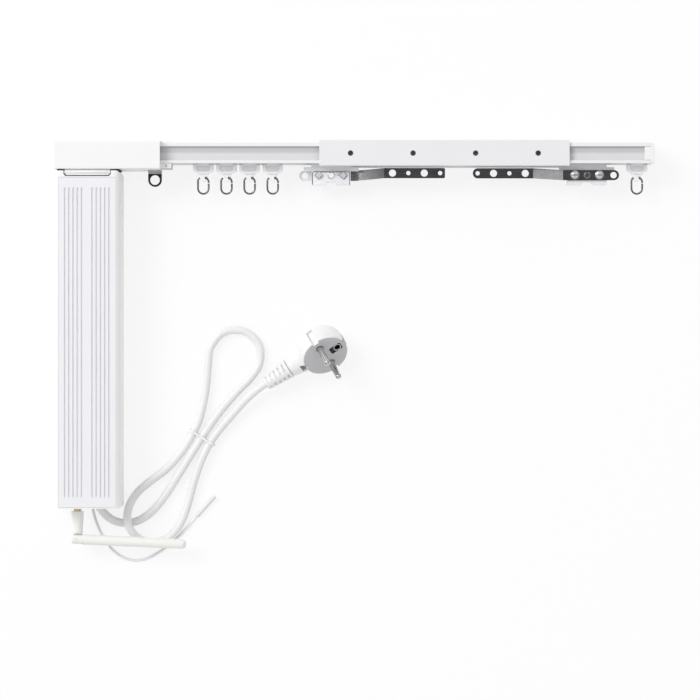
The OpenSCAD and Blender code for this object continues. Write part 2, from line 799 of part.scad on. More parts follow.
module antenna_base() {
    color(white) place() difference() {
        union() {
            translate([ant_x, ant_y1, ant_z]) rotate([90, 0, 0])
                cylinder(r1 = sleeve_top_r, r2 = rod_r + 0.1, h = ant_sleeve_l);
            bar_z(ant_x, hinge_y, ant_z - tongue_z, rod_r - 0.2, 2 * tongue_z);
            box([ant_x - 3.4, hinge_y, ant_z - tongue_z], [ant_x + 3.4, ant_y0 + 1, ant_z + tongue_z]);
        }
        post(ant_x, ant_y1 + 1, ant_z, 2 + run_gap, 7);
        bar_z(ant_x, hinge_y, ant_z - 5, hinge_r, 10);
    }
}

module antenna_hinge_pin() {
    color(steel) place() bar_z(ant_x, hinge_y, ant_z - rod_r + 0.5, hinge_r, 2 * rod_r - 1);
}

module antenna_rod() {
    gap = rod_r - 0.2 + slide_gap;
    color(white) place() translate([ant_x, hinge_y, ant_z]) rotate([0, 0, -rod_droop]) difference() {
        union() {
            rotate([0, 90, 0]) cylinder(r1 = rod_r, r2 = rod_tip_r, h = rod_l);
            translate([rod_l, 0, 0]) sphere(rod_tip_r);
            intersection() {
                translate([-rod_r, 0, 0]) rotate([0, 90, 0]) cylinder(r = rod_r, h = rod_r + 0.1);
                translate([0, 0, -rod_r]) linear_extrude(2 * rod_r) {
                    circle(rod_r);
                    translate([-rod_r, -rod_r]) square([rod_r + 1, rod_r]);
                }
            }
        }
        box([-rod_r - 1, -rod_r - 1, -tongue_z - slide_gap], [gap, rod_r + 1, tongue_z + slide_gap]);
        bar_z(0, 0, -rod_r - 1, hinge_r + run_gap, 2 * rod_r + 2);
    }
}

// Carrier pieces are drawn about their own middle and turned half round for the right one
module carrier_at(right) {
    translate([right ? right_x : left_x, 0, mid_z]) rotate([0, right ? 180 : 0, 0]) children();
}

module carrier_block() {
    jaw_z0 = neck_z - 0.5;
    jaw_z1 = belt_in - slide_gap;
    difference() {
        union() {
            box([-skid_half, block_y1, -4], [skid_half, skid_y1, 4]);
            box([-15.5, skid_y1 - 0.5, -neck_z], [15.5, floor_y + 6.5, neck_z]);
            box([-5.5, floor_y + 1.6, jaw_z0], [5.5, belt_y + belt_h, jaw_z1]);
            box([-5.5, floor_y + 1.6, jaw_z0], [5.5, belt_y - slide_gap, belt_out + 0.6]);
            translate([0, 0, -block_d / 2]) linear_extrude(block_d) {
                translate([0, (block_y1 + block_y0) / 2]) round_rect(block_l, block_y1 - block_y0, 1.2);
                translate([-block_l / 2 + 1.2, block_y1 - 2]) square([block_l - 2.4, 2]);
                for (s = [-1, 1]) translate([s * 9.6 - 5.8, foot_y]) square([11.6, 4]);
            }
        }
        for (s = [-1, 1]) {
            bar_z(s * wheel_x, wheel_y, -10, axle_w + run_gap, 20);
            bar_z(s * screw_x, arm_y, -10, 1.5 + run_gap, 20);
        }
        bar_z(0, arm_y, -10, 2.45, 20);
    }
}

module carrier_arm(end_r) {
    far = arm_z + arm_step;
    difference() {
        intersection() {
            rotate([90, 0, 0]) translate([0, 0, -20]) linear_extrude(40) polygon([
                [-plate_end, arm_z - arm_t / 2], [bend_x0, arm_z - arm_t / 2],
                [bend_x1, far - arm_t / 2], [arm_reach, far - arm_t / 2],
                [arm_reach, far + arm_t / 2], [bend_x1 - 0.5, far + arm_t / 2],
                [bend_x0 - 0.5, arm_z + arm_t / 2], [-plate_end, arm_z + arm_t / 2]
            ]);
            translate([0, 0, -20]) linear_extrude(40) {
                translate([-plate_end + arm_h / 2, arm_y]) circle(arm_h / 2);
                translate([-plate_end + arm_h / 2, arm_y - arm_h / 2])
                    square([plate_end - arm_h / 2 + bend_x0, arm_h]);
                polygon([
                    [bend_x0 - 0.1, arm_y - arm_h / 2], [bend_x1 + 0.1, arm_y + arm_rise - arm_h / 2],
                    [bend_x1 + 0.1, arm_y + arm_rise + arm_h / 2], [bend_x0 - 0.1, arm_y + arm_h / 2]
                ]);
                translate([(bend_x1 + arm_reach) / 2, arm_y + arm_rise])
                    round_rect(arm_reach - bend_x1, arm_h, end_r);
                translate([bend_x1, arm_y + arm_rise - arm_h / 2]) square([4, arm_h]);
            }
        }
        for (h = arm_holes) bar_z(h[0], arm_y + arm_rise, -20, h[1], 40);
        for (s = [-1, 1]) bar_z(s * screw_x, arm_y, -20, 1.5 + run_gap, 40);
        bar_z(0, arm_y, -20, 2.45, 40);
        bar_z(-plate_end + 4.3, arm_y, -20, 2.5, 40);
    }
}

module carrier_screws() {
    back = arm_z - arm_t / 2;
    for (s = [-1, 1]) translate([s * screw_x, arm_y, 0]) {
        difference() {
            intersection() {
                translate([0, 0, back - dome_h]) cylinder(r = dome_r, h = dome_h);
                translate([0, 0, back + dome_r * 1.6 - dome_h]) sphere(dome_r * 1.6);
            }
            box([-dome_r, -slot_half, back - dome_h - 1], [dome_r, slot_half, back - dome_h + 0.9]);
        }
        translate([0, 0, back - 0.4]) cylinder(r = 1.5, h = block_d + arm_t + 2.2);
        difference() {
            translate([0, 0, block_d / 2]) rotate([0, 0, 45])
                translate([-2.1, -2.1, 0]) cube([4.2, 4.2, 1.5]);
            translate([0, 0, block_d / 2 - 1]) cylinder(r = 1.45, h = 4);
        }
    }
}

module wheel_pair(x) {
    for (z = [wheel_z, -wheel_z - wheel_t]) bar_z(x, wheel_y, z, wheel_r, wheel_t);
    bar_z(x, wheel_y, -wheel_z - wheel_t, axle_w, 2 * (wheel_z + wheel_t));
}

module left_carrier_block() {
    color(white) place() carrier_at(false) carrier_block();
}

module left_carrier_arm() {
    color(steel) place() carrier_at(false) carrier_arm(arm_corner);
}

module left_carrier_screws() {
    color(grey) place() carrier_at(false) carrier_screws();
}

module left_wheels_near() {
    color(grey) place() carrier_at(false) wheel_pair(-wheel_x);
}

module left_wheels_far() {
    color(grey) place() carrier_at(false) wheel_pair(wheel_x);
}

module right_carrier_block() {
    color(white) place() carrier_at(true) carrier_block();
}

module right_carrier_arm() {
    color(steel) place() carrier_at(true) carrier_arm(arm_h / 2 - 0.1);
}

module right_carrier_screws() {
    color(grey) place() carrier_at(true) carrier_screws();
}

module right_wheels_near() {
    color(grey) place() carrier_at(true) wheel_pair(wheel_x);
}

module right_wheels_far() {
    color(grey) place() carrier_at(true) wheel_pair(-wheel_x);
}

module glider(x) {
    color(white) place() translate([x, 0, mid_z]) difference() {
        union() {
            box([-6.4, floor_y + 0.2, -7.6], [6.4, glider_top, 7.6]);
            box([-5, 3.6, -neck_z], [5, floor_y + 1, neck_z]);
            translate([0, 0, -glider_d / 2]) linear_extrude(glider_d) polygon([
                [-glider_w / 2, 4.5], [-glider_w / 2, -0.9], [-glider_w / 2 + 2.6, -1.9], [-3.4, -2.9],
                [3.4, -2.9], [glider_w / 2 - 2.6, -1.9], [glider_w / 2, -0.9], [glider_w / 2, 4.5]
            ]);
            translate([0, 0, -1.9]) linear_extrude(3.8) {
                polygon([
                    [-4.6, -2], [-3.9, -3.4], [-nub_r, ring_y - 0.8],
                    [nub_r, ring_y - 0.8], [3.9, -3.4], [4.6, -2]
                ]);
                translate([0, ring_y - 0.8]) circle(nub_r);
            }
        }
        for (s = [-1, 1])
            translate([0, 0, s > 0 ? glider_d / 2 - 0.9 : -glider_d / 2 - 1]) linear_extrude(1.9)
                polygon([[-5.4, 3.7], [-5.4, 0.4], [-4, -0.9], [4, -0.9], [5.4, 0.4], [5.4, 3.7]]);
        translate([-10, ring_y, 0]) rotate([0, 90, 0]) cylinder(r = eye_bore_r, h = 20);
    }
}

// Hook of bent wire: a straight run through the glider eye and a round bight below, open on one limb
module hook(x) {
    turn = 1.6;
    color(steel) place() translate([x, 0, mid_z]) {
        translate([-hook_r + turn, ring_y, 0]) rotate([0, 90, 0])
            cylinder(r = wire_r, h = 2 * (hook_r - turn));
        for (s = [-1, 1]) translate([s * (hook_r - turn), ring_y - turn, 0])
            rotate([0, 0, s > 0 ? 0 : 90]) rotate_extrude(angle = 90) translate([turn, 0]) circle(wire_r);
        translate([-hook_r, ring_y - turn, 0]) rotate([90, 0, 0])
            cylinder(r = wire_r, h = ring_y - turn - hook_low);
        translate([hook_r, split_y, 0]) rotate([90, 0, 0]) cylinder(r = wire_r, h = split_y - hook_low);
        translate([hook_r, ring_y - turn, 0]) rotate([90, 0, 0])
            cylinder(r = wire_r, h = ring_y - turn - split_y - 0.5);
        translate([0, hook_low, 0]) rotate([0, 0, 180]) rotate_extrude(angle = 180)
            translate([hook_r, 0]) circle(wire_r);
    }
}

module glider_1() { glider(glider_xs[0]); }
module glider_2() { glider(glider_xs[1]); }
module glider_3() { glider(glider_xs[2]); }
module glider_4() { glider(glider_xs[3]); }
module glider_5() { glider(glider_far); }
module hook_1() { hook(glider_xs[0]); }
module hook_2() { hook(glider_xs[1]); }
module hook_3() { hook(glider_xs[2]); }
module hook_4() { hook(glider_xs[3]); }
module hook_5() { hook(glider_far); }

// Slanting way of the lead through the gland and the foot cap
module lead_bore() {
    rotate([0, 0, lead_tilt]) translate([0, 10, 0]) rotate([90, 0, 0])
        cylinder(r = lead_r + slide_gap, h = 20);
}

module cord_gland() {
    color(grey) place() translate([lead_exit[0], motor_y0, lead_exit[2]]) difference() {
        union() {
            post(0, foot_t, 0, gland_r, foot_t + 0.1);
            post(0, 0, 0, gland_r + 0.1, 1);
        }
        lead_bore();
    }
}

module power_cord() {
    color(white) place() translate([0, motor_y0, 0])
        polyhedron(tube_points(lead_line, lead_r, 8), tube_faces(len(lead_line), 8));
}

module cord_tie() {
    inner_w = 2 * lane + lead_d + 1.8;
    inner_h = lead_d + 1;
    color(white) place() translate([0, motor_y0, 0]) translate(tie_at) rotate([0, 0, tie_turn])
        rotate([90, 0, 90]) translate([0, 0, -strap_w / 2]) linear_extrude(strap_w) difference() {
            round_rect(inner_w + 2 * tie_wall, inner_h + 2 * tie_wall, inner_h / 2);
            round_rect(inner_w, inner_h, inner_h / 2 - 1.2 * tie_wall);
        }
}

module antenna_wire() {
    color(white) place() translate([0, motor_y0, 0])
        polyhedron(tube_points(aerial_line, aerial_d / 2, 8), tube_faces(len(aerial_line), 8));
}

module antenna_wire_tip() {
    last = aerial_points[len(aerial_points) - 1];
    color(white) place() translate([0, motor_y0, 0]) translate(last)
        rotate([0, 0, 48]) rotate([0, 90, 0]) cylinder(r = tip_r, h = tip_l);
}

// Plug frame: X along the pin line, Y away from the lead, Z along the pins
module plug_frame() {
    translate([0, motor_y0, 0]) translate(plug_at) rotate([0, 0, plug_turn]) rotate([plug_lift, 0, 0])
        rotate([0, plug_roll, 0]) children();
}

// Piece lying along the lead end of the plug, from a distance outwards
module plug_lead(v, r1, r2, l) {
    translate([0, v, neck_n]) rotate([90, 0, 0]) cylinder(r1 = r1, r2 = r2, h = l);
}

module plug_body() {
    color(white) place() plug_frame() difference() {
        union() {
            rotate_extrude() polygon([
                [0, 0], [plug_r, 0], [plug_r + 0.6, -7], [plug_r + 0.2, -12],
                [plug_r - 1.4, -plug_d * 0.68], [plug_r - 4.4, -plug_d * 0.84],
                [plug_r - 8.6, -plug_d * 0.96], [0, -plug_d]
            ]);
            plug_lead(-8, 11, 7.2, -8 - neck_v);
        }
        for (s = [-1, 1]) {
            translate([s * pin_gap / 2, 0, -7]) cylinder(r = pin_r + 0.02, h = 8);
            box([s > 0 ? plug_r - 3.4 : -plug_r - 3, -2.6, -15],
                [s > 0 ? plug_r + 3 : -plug_r + 3.4, 2.6, 1]);
            box([-3.3, s > 0 ? plug_r - 2 : -plug_r - 3, -9], [3.3, s > 0 ? plug_r + 3 : -plug_r + 2, 1]);
        }
        translate([0, 10, -14]) cylinder(r = 2.6, h = 16);
        translate([0, 10, -1.2]) linear_extrude(3) round_rect(9.5, 7.5, 1.6);
        plug_lead(neck_v + 4, lead_r + 0.02, lead_r + 0.02, 6);
    }
}

module plug_pins() {
    color(grey) place() plug_frame() for (s = [-1, 1]) translate([s * pin_gap / 2, 0, 0]) {
        translate([0, 0, -6.5]) cylinder(r = pin_r, h = pin_l + 5.3);
        translate([0, 0, pin_l - 1.2]) cylinder(r1 = pin_r, r2 = pin_r - 1, h = 1.2);
    }
}

module plug_earth_clips() {
    color(grey) place() plug_frame() for (s = [-1, 1])
        box([-2, s > 0 ? plug_r - 2 : -plug_r + 1, -8.8], [2, s > 0 ? plug_r - 1 : -plug_r + 2, -0.3]);
}

module plug_relief() {
    rows = 5;
    step = (relief_l - 3) / rows;
    color(white) place() plug_frame() difference() {
        plug_lead(neck_v, relief_r, relief_r - 1.9, relief_l);
        plug_lead(neck_v + 1, lead_r + 0.1, lead_r + 0.1, relief_l + 2);
        for (i = [0 : rows - 1], s = [-1, 1]) {
            box([-4, neck_v - 3 - i * step - 1.8, s > 0 ? neck_n + 4.1 : neck_n - 9],
                [4, neck_v - 3 - i * step, s > 0 ? neck_n + 9 : neck_n - 4.1]);
            box([s > 0 ? 4.1 : -9, neck_v - 3 - (i + 0.5) * step - 1.8, neck_n - 3.4],
                [s > 0 ? 9 : -4.1, neck_v - 3 - (i + 0.5) * step, neck_n + 3.4]);
        }
    }
}

track_left();
track_right();
joint_sleeve();
sleeve_screws();
head_housing();
head_base();
head_screws();
end_eye_strap();
end_eye();
pulley_bearings();
belt();
drive_pulley();
motor_coupling();
idler_pulley();
idler_axle();
end_cap();
motor_case();
motor_panel();
motor_head_cap();
release_latch();
motor_foot_cap();
case_screws();
gear_reducer();
motor_can();
control_board();
antenna_connector();
antenna_base();
antenna_hinge_pin();
antenna_rod();
left_carrier_block();
left_carrier_arm();
left_carrier_screws();
left_wheels_near();
left_wheels_far();
right_carrier_block();
right_carrier_arm();
right_carrier_screws();
right_wheels_near();
right_wheels_far();
glider_1();
glider_2();
glider_3();
glider_4();
glider_5();
hook_1();
hook_2();
hook_3();
hook_4();
hook_5();
cord_gland();
power_cord();
cord_tie();
antenna_wire();
antenna_wire_tip();
plug_body();
plug_pins();
plug_earth_clips();
plug_relief();
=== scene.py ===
"""Electric curtain track lying on its back on white paper, seen from straight above."""

import json
import math

import bmesh
import bpy
from mathutils import Matrix, Vector


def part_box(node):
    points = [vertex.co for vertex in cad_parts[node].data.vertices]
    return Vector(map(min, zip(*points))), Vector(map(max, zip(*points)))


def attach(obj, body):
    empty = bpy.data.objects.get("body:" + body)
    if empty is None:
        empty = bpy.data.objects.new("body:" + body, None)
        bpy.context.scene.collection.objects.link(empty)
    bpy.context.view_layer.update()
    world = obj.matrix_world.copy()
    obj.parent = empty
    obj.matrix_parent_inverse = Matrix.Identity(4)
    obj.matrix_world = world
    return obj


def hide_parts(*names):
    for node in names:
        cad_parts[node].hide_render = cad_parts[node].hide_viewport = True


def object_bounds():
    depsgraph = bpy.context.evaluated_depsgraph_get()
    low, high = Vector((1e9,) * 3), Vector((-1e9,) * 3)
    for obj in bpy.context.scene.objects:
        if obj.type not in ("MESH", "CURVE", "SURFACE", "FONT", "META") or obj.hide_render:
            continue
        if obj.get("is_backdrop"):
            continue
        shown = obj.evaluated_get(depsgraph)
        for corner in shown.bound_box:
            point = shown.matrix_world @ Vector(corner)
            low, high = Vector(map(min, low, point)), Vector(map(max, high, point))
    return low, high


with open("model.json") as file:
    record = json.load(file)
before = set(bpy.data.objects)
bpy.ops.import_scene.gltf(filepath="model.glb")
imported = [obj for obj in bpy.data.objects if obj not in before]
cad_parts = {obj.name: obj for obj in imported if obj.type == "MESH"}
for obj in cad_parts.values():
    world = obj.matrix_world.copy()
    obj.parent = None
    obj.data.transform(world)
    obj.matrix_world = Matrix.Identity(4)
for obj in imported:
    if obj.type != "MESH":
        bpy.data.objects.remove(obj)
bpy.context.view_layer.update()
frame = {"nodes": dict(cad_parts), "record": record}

MM = 0.001
NODES = frame["nodes"]
RECORD = frame["record"]
SLOT_OF = {p["node"]: p["material_slot"] for p in RECORD["subparts"]}
BODY_OF = {n: b for b, members in RECORD["behaviour"]["bodies"].items() for n in members}


def middle_of(node):
    """Middle of a CAD node's box along X, Y and Z, in metres."""
    return [sum(corner[axis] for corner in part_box(node)) / 2 for axis in range(3)]


# The part is measured from the drive axis, and from the underside of the drive head or the motor's foot.
AXIS_X = middle_of("drive_pulley")[0]
HEAD_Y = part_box("head_housing")[0].y
FOOT_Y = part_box("motor_case")[0].y


def at(x, y, z):
    """Point in metres, from millimetres off the drive axis and the head's underside."""
    return Vector((AXIS_X + x * MM, HEAD_Y + y * MM, z * MM))


def from_foot(x, y, z):
    """Point in metres, from millimetres off the drive axis and the motor's foot."""
    return Vector((AXIS_X + x * MM, FOOT_Y + y * MM, z * MM))


def under_head(node):
    """Point in metres level with the head's underside, in the middle of a node's width and depth."""
    x, _, z = middle_of(node)
    return Vector((x, HEAD_Y, z))


def placed(name, data):
    """New object that is linked into the scene."""
    made = bpy.data.objects.new(name, data)
    bpy.context.scene.collection.objects.link(made)
    return made


# Camera: straight above the middle of the picture, 546 mm across at the front faces; it sees 20 m far
CAMERA_AT = (205.1, -141.3, 2600)
VIEW_ACROSS = 546
FRONT_FACES = 40
SENSOR = 36
SIGHT = 20

camera = placed("camera", bpy.data.cameras.new("camera"))
camera.data.sensor_width = SENSOR
camera.data.lens = SENSOR * (CAMERA_AT[2] - FRONT_FACES) / VIEW_ACROSS
camera.data.clip_end = SIGHT
camera.location = at(*CAMERA_AT)
bpy.context.scene.camera = camera
bpy.context.scene.view_settings.view_transform = "Standard"


# Materials

# Width of slow drifts of tone and of cloudy patches, and how deep light goes into plastic, in millimetres
DRIFT, CLOUD, LIGHT_DEPTH = 28, 6, 1.5
# Most of a noise lies between these two values
NOISE_LOW, NOISE_HIGH = 0.3, 0.7
# How far the roughness swings below and above its middle, and how strongly the relief shows
PLASTIC_SWING, PLASTIC_RELIEF = (-0.05, 0.07), 0.6
METAL_SWING, METAL_RELIEF = (-0.05, 0.1), 0.5
# The track's web with its painted shade, in millimetres: the depths under the front and under the roof at
# which it is all grey and all white, and the heights off its middle between which the lower grey turns to
# the darker upper one, a painted shadow of the upper rail
WEB_DEPTH, WEB_MARGIN, RAIL_SHADOW_TURN = (2.2, 1.2), (0.9, 0.4), (-0.8, 0.9)


def colour(code):
    """Linear colour with alpha from an sRGB hex value."""
    parts = [int(code[i : i + 2], 16) / 255 for i in (1, 3, 5)]
    return [c / 12.92 if c <= 0.04045 else ((c + 0.055) / 1.055) ** 2.4 for c in parts] + [1]


def add(tree, kind, inputs=None, **settings):
    """Adds a node with its settings; an input is a value, or the socket that feeds it."""
    node = tree.nodes.new(kind)
    for key, value in settings.items():
        setattr(node, key, value)
    for key, value in (inputs or {}).items():
        if isinstance(value, bpy.types.NodeSocket):
            tree.links.new(value, node.inputs[key])
        else:
            node.inputs[key].default_value = value
    return node


def new_material(name):
    """A new material and its empty node tree."""
    material = bpy.data.materials.new(name)
    material.use_nodes = True
    material.node_tree.nodes.clear()
    return material, material.node_tree


def dress(tree, light, dark, slow, fine, roughness, swing, relief_mm, strength, fixed):
    """Shader whose tone follows a slow pattern, and whose gloss and relief follow a fine one."""
    tone = add(tree, "ShaderNodeMix",
               {"Factor": slow.outputs["Fac"], "A": colour(light), "B": colour(dark)}, data_type="RGBA")
    gloss = add(tree, "ShaderNodeMapRange",
                {"Value": fine.outputs["Fac"], "From Min": NOISE_LOW, "From Max": NOISE_HIGH,
                 "To Min": roughness + swing[0], "To Max": roughness + swing[1]})
    bump = add(tree, "ShaderNodeBump",
               {"Height": fine.outputs["Fac"], "Distance": relief_mm * MM, "Strength": strength})
    shader = add(tree, "ShaderNodeBsdfPrincipled",
                 {"Base Color": tone.outputs["Result"], "Roughness": gloss.outputs["Result"],
                  "Normal": bump.outputs["Normal"], **fixed})
    add(tree, "ShaderNodeOutputMaterial", {"Surface": shader.outputs["BSDF"]})


def moulded(name, light, dark, roughness, grain_mm, relief_mm, ior=1.5, coat=0.0, soft=0.0):
    """Plastic or paint: a fine grain in relief, and slow drifts of tone a few centimetres wide."""
    material, tree = new_material(name)
    place = add(tree, "ShaderNodeTexCoord").outputs["Object"]
    grain = add(tree, "ShaderNodeTexNoise",
                {"Vector": place, "Scale": 1 / (grain_mm * MM), "Detail": 3, "Roughness": 0.6})
    drift = add(tree, "ShaderNodeTexNoise", {"Vector": place, "Scale": 1 / (DRIFT * MM), "Detail": 2})
    dress(tree, light, dark, drift, grain, roughness, PLASTIC_SWING, relief_mm, PLASTIC_RELIEF,
          {"IOR": ior, "Coat Weight": coat, "Subsurface Weight": soft,
           "Subsurface Scale": LIGHT_DEPTH * MM})
    return material


def channel_painted_shade(name, light, dark, web, web_under_rail_shadow, roughness, grain_mm, relief_mm):
    """White paint with painted shade on the web, the wall set back between the track's rails, and a darker
    painted shadow under the upper rail.
    """
    material = moulded(name, light, dark, roughness, grain_mm, relief_mm)
    tree = material.node_tree
    shader = next(n for n in tree.nodes if n.type == "BSDF_PRINCIPLED")
    white = shader.inputs["Base Color"].links[0].from_socket
    place = add(tree, "ShaderNodeSeparateXYZ", {0: add(tree, "ShaderNodeTexCoord").outputs["Object"]})
    low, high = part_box("track_left")
    middle = middle_of("track_left")
    shares = []
    for axis, (all_grey, all_white) in ((2, WEB_DEPTH), (1, WEB_MARGIN)):
        half = (high[axis] - low[axis]) / 2
        off = add(tree, "ShaderNodeMath", {0: place.outputs[axis], 1: middle[axis]}, operation="SUBTRACT")
        away = add(tree, "ShaderNodeMath", {0: off.outputs[0]}, operation="ABSOLUTE")
        fade = add(tree, "ShaderNodeMapRange",
                   {"Value": away.outputs[0], "From Min": half - all_grey * MM,
                    "From Max": half - all_white * MM, "To Min": 1, "To Max": 0})
        shares.append(fade.outputs["Result"])
    # Painted shade: this mask is 1 on the web set back between the rails, where the grey takes over
    inside = add(tree, "ShaderNodeMath", {0: shares[0], 1: shares[1]}, operation="MULTIPLY")
    # Painted shadow of the upper rail: the web's grey turns darker towards its top
    upper = add(tree, "ShaderNodeMapRange",
                {"Value": place.outputs["Y"], "From Min": middle[1] + RAIL_SHADOW_TURN[0] * MM,
                 "From Max": middle[1] + RAIL_SHADOW_TURN[1] * MM})
    grey = add(tree, "ShaderNodeMix",
               {"Factor": upper.outputs["Result"], "A": colour(web), "B": colour(web_under_rail_shadow)},
               data_type="RGBA")
    tone = add(tree, "ShaderNodeMix",
               {"Factor": inside.outputs[0], "A": white, "B": grey.outputs["Result"]}, data_type="RGBA")
    tree.links.new(tone.outputs["Result"], shader.inputs["Base Color"])
    return material


def metal(name, light, dark, roughness, streak_mm, relief_mm):
    """Metal: fine lines along one direction from rolling, turning or polishing, and cloudy patches."""
    material, tree = new_material(name)
    place = add(tree, "ShaderNodeTexCoord").outputs["Object"]
    stretch = add(tree, "ShaderNodeMapping",
                  {"Vector": place, "Scale": [1 / (s * MM) for s in streak_mm]})
    lines = add(tree, "ShaderNodeTexNoise",
                {"Vector": stretch.outputs["Vector"], "Scale": 1, "Detail": 4})
    cloud = add(tree, "ShaderNodeTexNoise", {"Vector": place, "Scale": 1 / (CLOUD * MM), "Detail": 3})
    dress(tree, light, dark, cloud, lines, roughness, METAL_SWING, relief_mm, METAL_RELIEF,
          {"Metallic": 1})
    return material


# Real grains and rolling lines are too fine to show from this far, so all are drawn coarser than they are.
MATERIALS = {
    # Powder-coated aluminium: even white with a faint orange peel about 1 mm across
    "white_paint": moulded("white_powder_coated_aluminium", "#F0F0F2", "#EBEBED", 0.38, 0.9, 0.012),
    # The same coat on the drawn track, with painted shade greying its web and a painted shadow darkest
    # under the upper rail
    "track_painted_shade": channel_painted_shade("white_track_painted_web_shade", "#F5F5F6", "#F0F0F2", "#E0E0E2", "#CACACC",
                                 0.38, 0.9, 0.012),
    # Injection-moulded ABS: smooth white with a fine spark-eroded grain
    "white_abs": moulded("white_moulded_abs", "#F8F8F8", "#F4F4F4", 0.42, 0.5, 0.01),
    # Moulded ABS with a matt face: a little bluer and greyer than the case
    "grey_panel": moulded("pale_grey_moulded_abs", "#F2F2F5", "#EEEEF2", 0.5, 0.6, 0.012),
    # Moulded nylon: milky white, light passes a little way in
    "nylon": moulded("white_moulded_nylon", "#F3F3F5", "#EDEDF0", 0.4, 0.5, 0.008, ior=1.53, soft=0.15),
    # The gliders' nylon: the same, painted whiter as painted light against the shade under the track
    "glider_nylon_painted_light": moulded("white_nylon_painted_light", "#FCFCFD", "#F8F8FA", 0.4, 0.5, 0.008, ior=1.53, soft=0.15),
    # The panel set into a glider: pale grey and smooth, painted shade of the glider's recess
    "glider_recess_painted_shade": moulded("pale_grey_painted_recess_shade", "#ECECEE", "#E4E4E7", 0.4, 0.5, 0.008, ior=1.53),
    # Acetal: grey and slippery
    "grey_nylon": moulded("grey_moulded_acetal", "#C3C5C8", "#B8BABE", 0.35, 0.5, 0.006, ior=1.48),
    # Polished steel strip: a mirror with faint lines of rolling, so its flats show the dark overhead
    "dark_steel": metal("polished_steel_strip", "#8A8A8C", "#7A7A7D", 0.17, (14, 0.5, 0.5), 0.003),
    # Zinc-plated steel: bluish silver with cloudy crystals and a satin shine
    "zinc_steel": metal("zinc_plated_steel", "#DADCDF", "#C2C4C8", 0.3, (3, 1.2, 1.2), 0.002),
    # Zinc-plated nuts, tumbled dull: pale grey all over
    "dull_zinc": metal("tumbled_zinc_plated_steel", "#DEDFE2", "#CCCDD1", 0.6, (1, 1, 1), 0.003),
    # Blackened steel: nearly black with a dull shine
    "black_screw": metal("blackened_steel", "#77777A", "#58585B", 0.36, (0.8, 0.8, 0.8), 0.004),
    # Black moulded plastic with a smooth shine
    "black_plastic": moulded("black_moulded_nylon", "#19191B", "#131314", 0.28, 0.6, 0.008),
    # Turned brass: yellow, with fine rings across its axis
    "bronze": metal("turned_brass", "#EBDDAE", "#D8C589", 0.26, (3, 0.25, 3), 0.004),
    # Neoprene belt: dull black with a rubbery grain
    "belt_rubber": moulded("black_neoprene", "#1E1E1E", "#161616", 0.68, 0.4, 0.02),
    # Solder-masked glass epoxy: green and glossy
    "board_green": moulded("green_solder_mask", "#2A6B42", "#235A38", 0.3, 0.8, 0.01, coat=0.2),
    # Satin moulded ABS of the antenna: warm white
    "antenna_white": moulded("warm_white_satin_abs", "#F7F7F4", "#F2F2EE", 0.42, 0.5, 0.004),
    # Flexible vinyl: white, softly glossy, a faint ripple from the die
    "white_pvc": moulded("white_extruded_vinyl", "#F7F7F6", "#F2F2F2", 0.4, 1.6, 0.02, ior=1.53, soft=0.08),
    # The lead's vinyl: the same, a shade greyer all over, painted shade for the shading along its round
    "lead_vinyl_painted_shade": moulded("white_vinyl_painted_shade", "#F2F2F2", "#EDEDEE", 0.4, 1.6, 0.02,
                          ior=1.53, soft=0.08),
    # The plug's face: light grey and dull, painted shade of a face turned away from the lamp
    "plug_face_painted_shade": moulded("light_grey_painted_face_shade", "#CBCBCD", "#C1C1C4", 0.5, 0.6, 0.008),
    # Heat-shrunk sleeve: pale and milky
    "clear_tip": moulded("milky_shrink_sleeve", "#EDEDED", "#E2E2E2", 0.34, 1.2, 0.03, soft=0.2),
    # Spring wire: smooth drawn steel, oiled to a brown grey
    "spring_wire": metal("oiled_spring_wire", "#8C8A8C", "#6C6A6D", 0.22, (2, 2, 2), 0.002),
    # Nickel-plated brass: bright and warm silver
    "nickel": metal("nickel_plated_brass", "#DCDAD6", "#C8C6C2", 0.1, (6, 6, 6), 0.001),
}


# Pieces

# Points closer than this are one, in millimetres: in a CAD node's triangles, and in a turned shape
NODE_WELD, TURNED_WELD = 0.002, 0.0005
# Degrees: faces within the first angle are one flat face, edges past the second are rounded, and edges past
# the third are shaded sharp on a piece that has no angle of its own
FLAT_ANGLE, EDGE_ANGLE, CREASE = 0.5, 32, 50
EDGE_STEPS, CORNER_STEPS, PANEL_STEPS, LATCH_STEPS = 2, 5, 2, 3


def piece(name, mesh, slot, body, *nodes, finish=None):
    """A finished piece with its material, riding on a body and standing for CAD nodes."""
    made = placed(name, mesh)
    mesh.materials.clear()
    mesh.materials.append(MATERIALS[finish or slot])
    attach(made, body)
    if nodes:
        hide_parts(*nodes)
    return made


def as_mesh(name, form, turn=None):
    """Mesh from a bmesh, moved or turned where asked; the bmesh is freed."""
    if turn is not None:
        form.transform(turn)
    mesh = bpy.data.meshes.new(name)
    form.to_mesh(mesh)
    form.free()
    return mesh


def smooth(mesh, sharp_from=40):
    """Smooth shading with the edges kept sharp past an angle in degrees."""
    mesh.polygons.foreach_set("use_smooth", [True] * len(mesh.polygons))
    mesh.set_sharp_from_angle(angle=math.radians(sharp_from))


def rounded(form, edges, radius_mm, steps, clamp=False):
    """Rounds edges of a bmesh by a radius in millimetres."""
    bmesh.ops.bevel(form, geom=edges, offset=radius_mm * MM, offset_type="OFFSET", segments=steps,
                    profile=0.5, affect="EDGES", clamp_overlap=clamp)


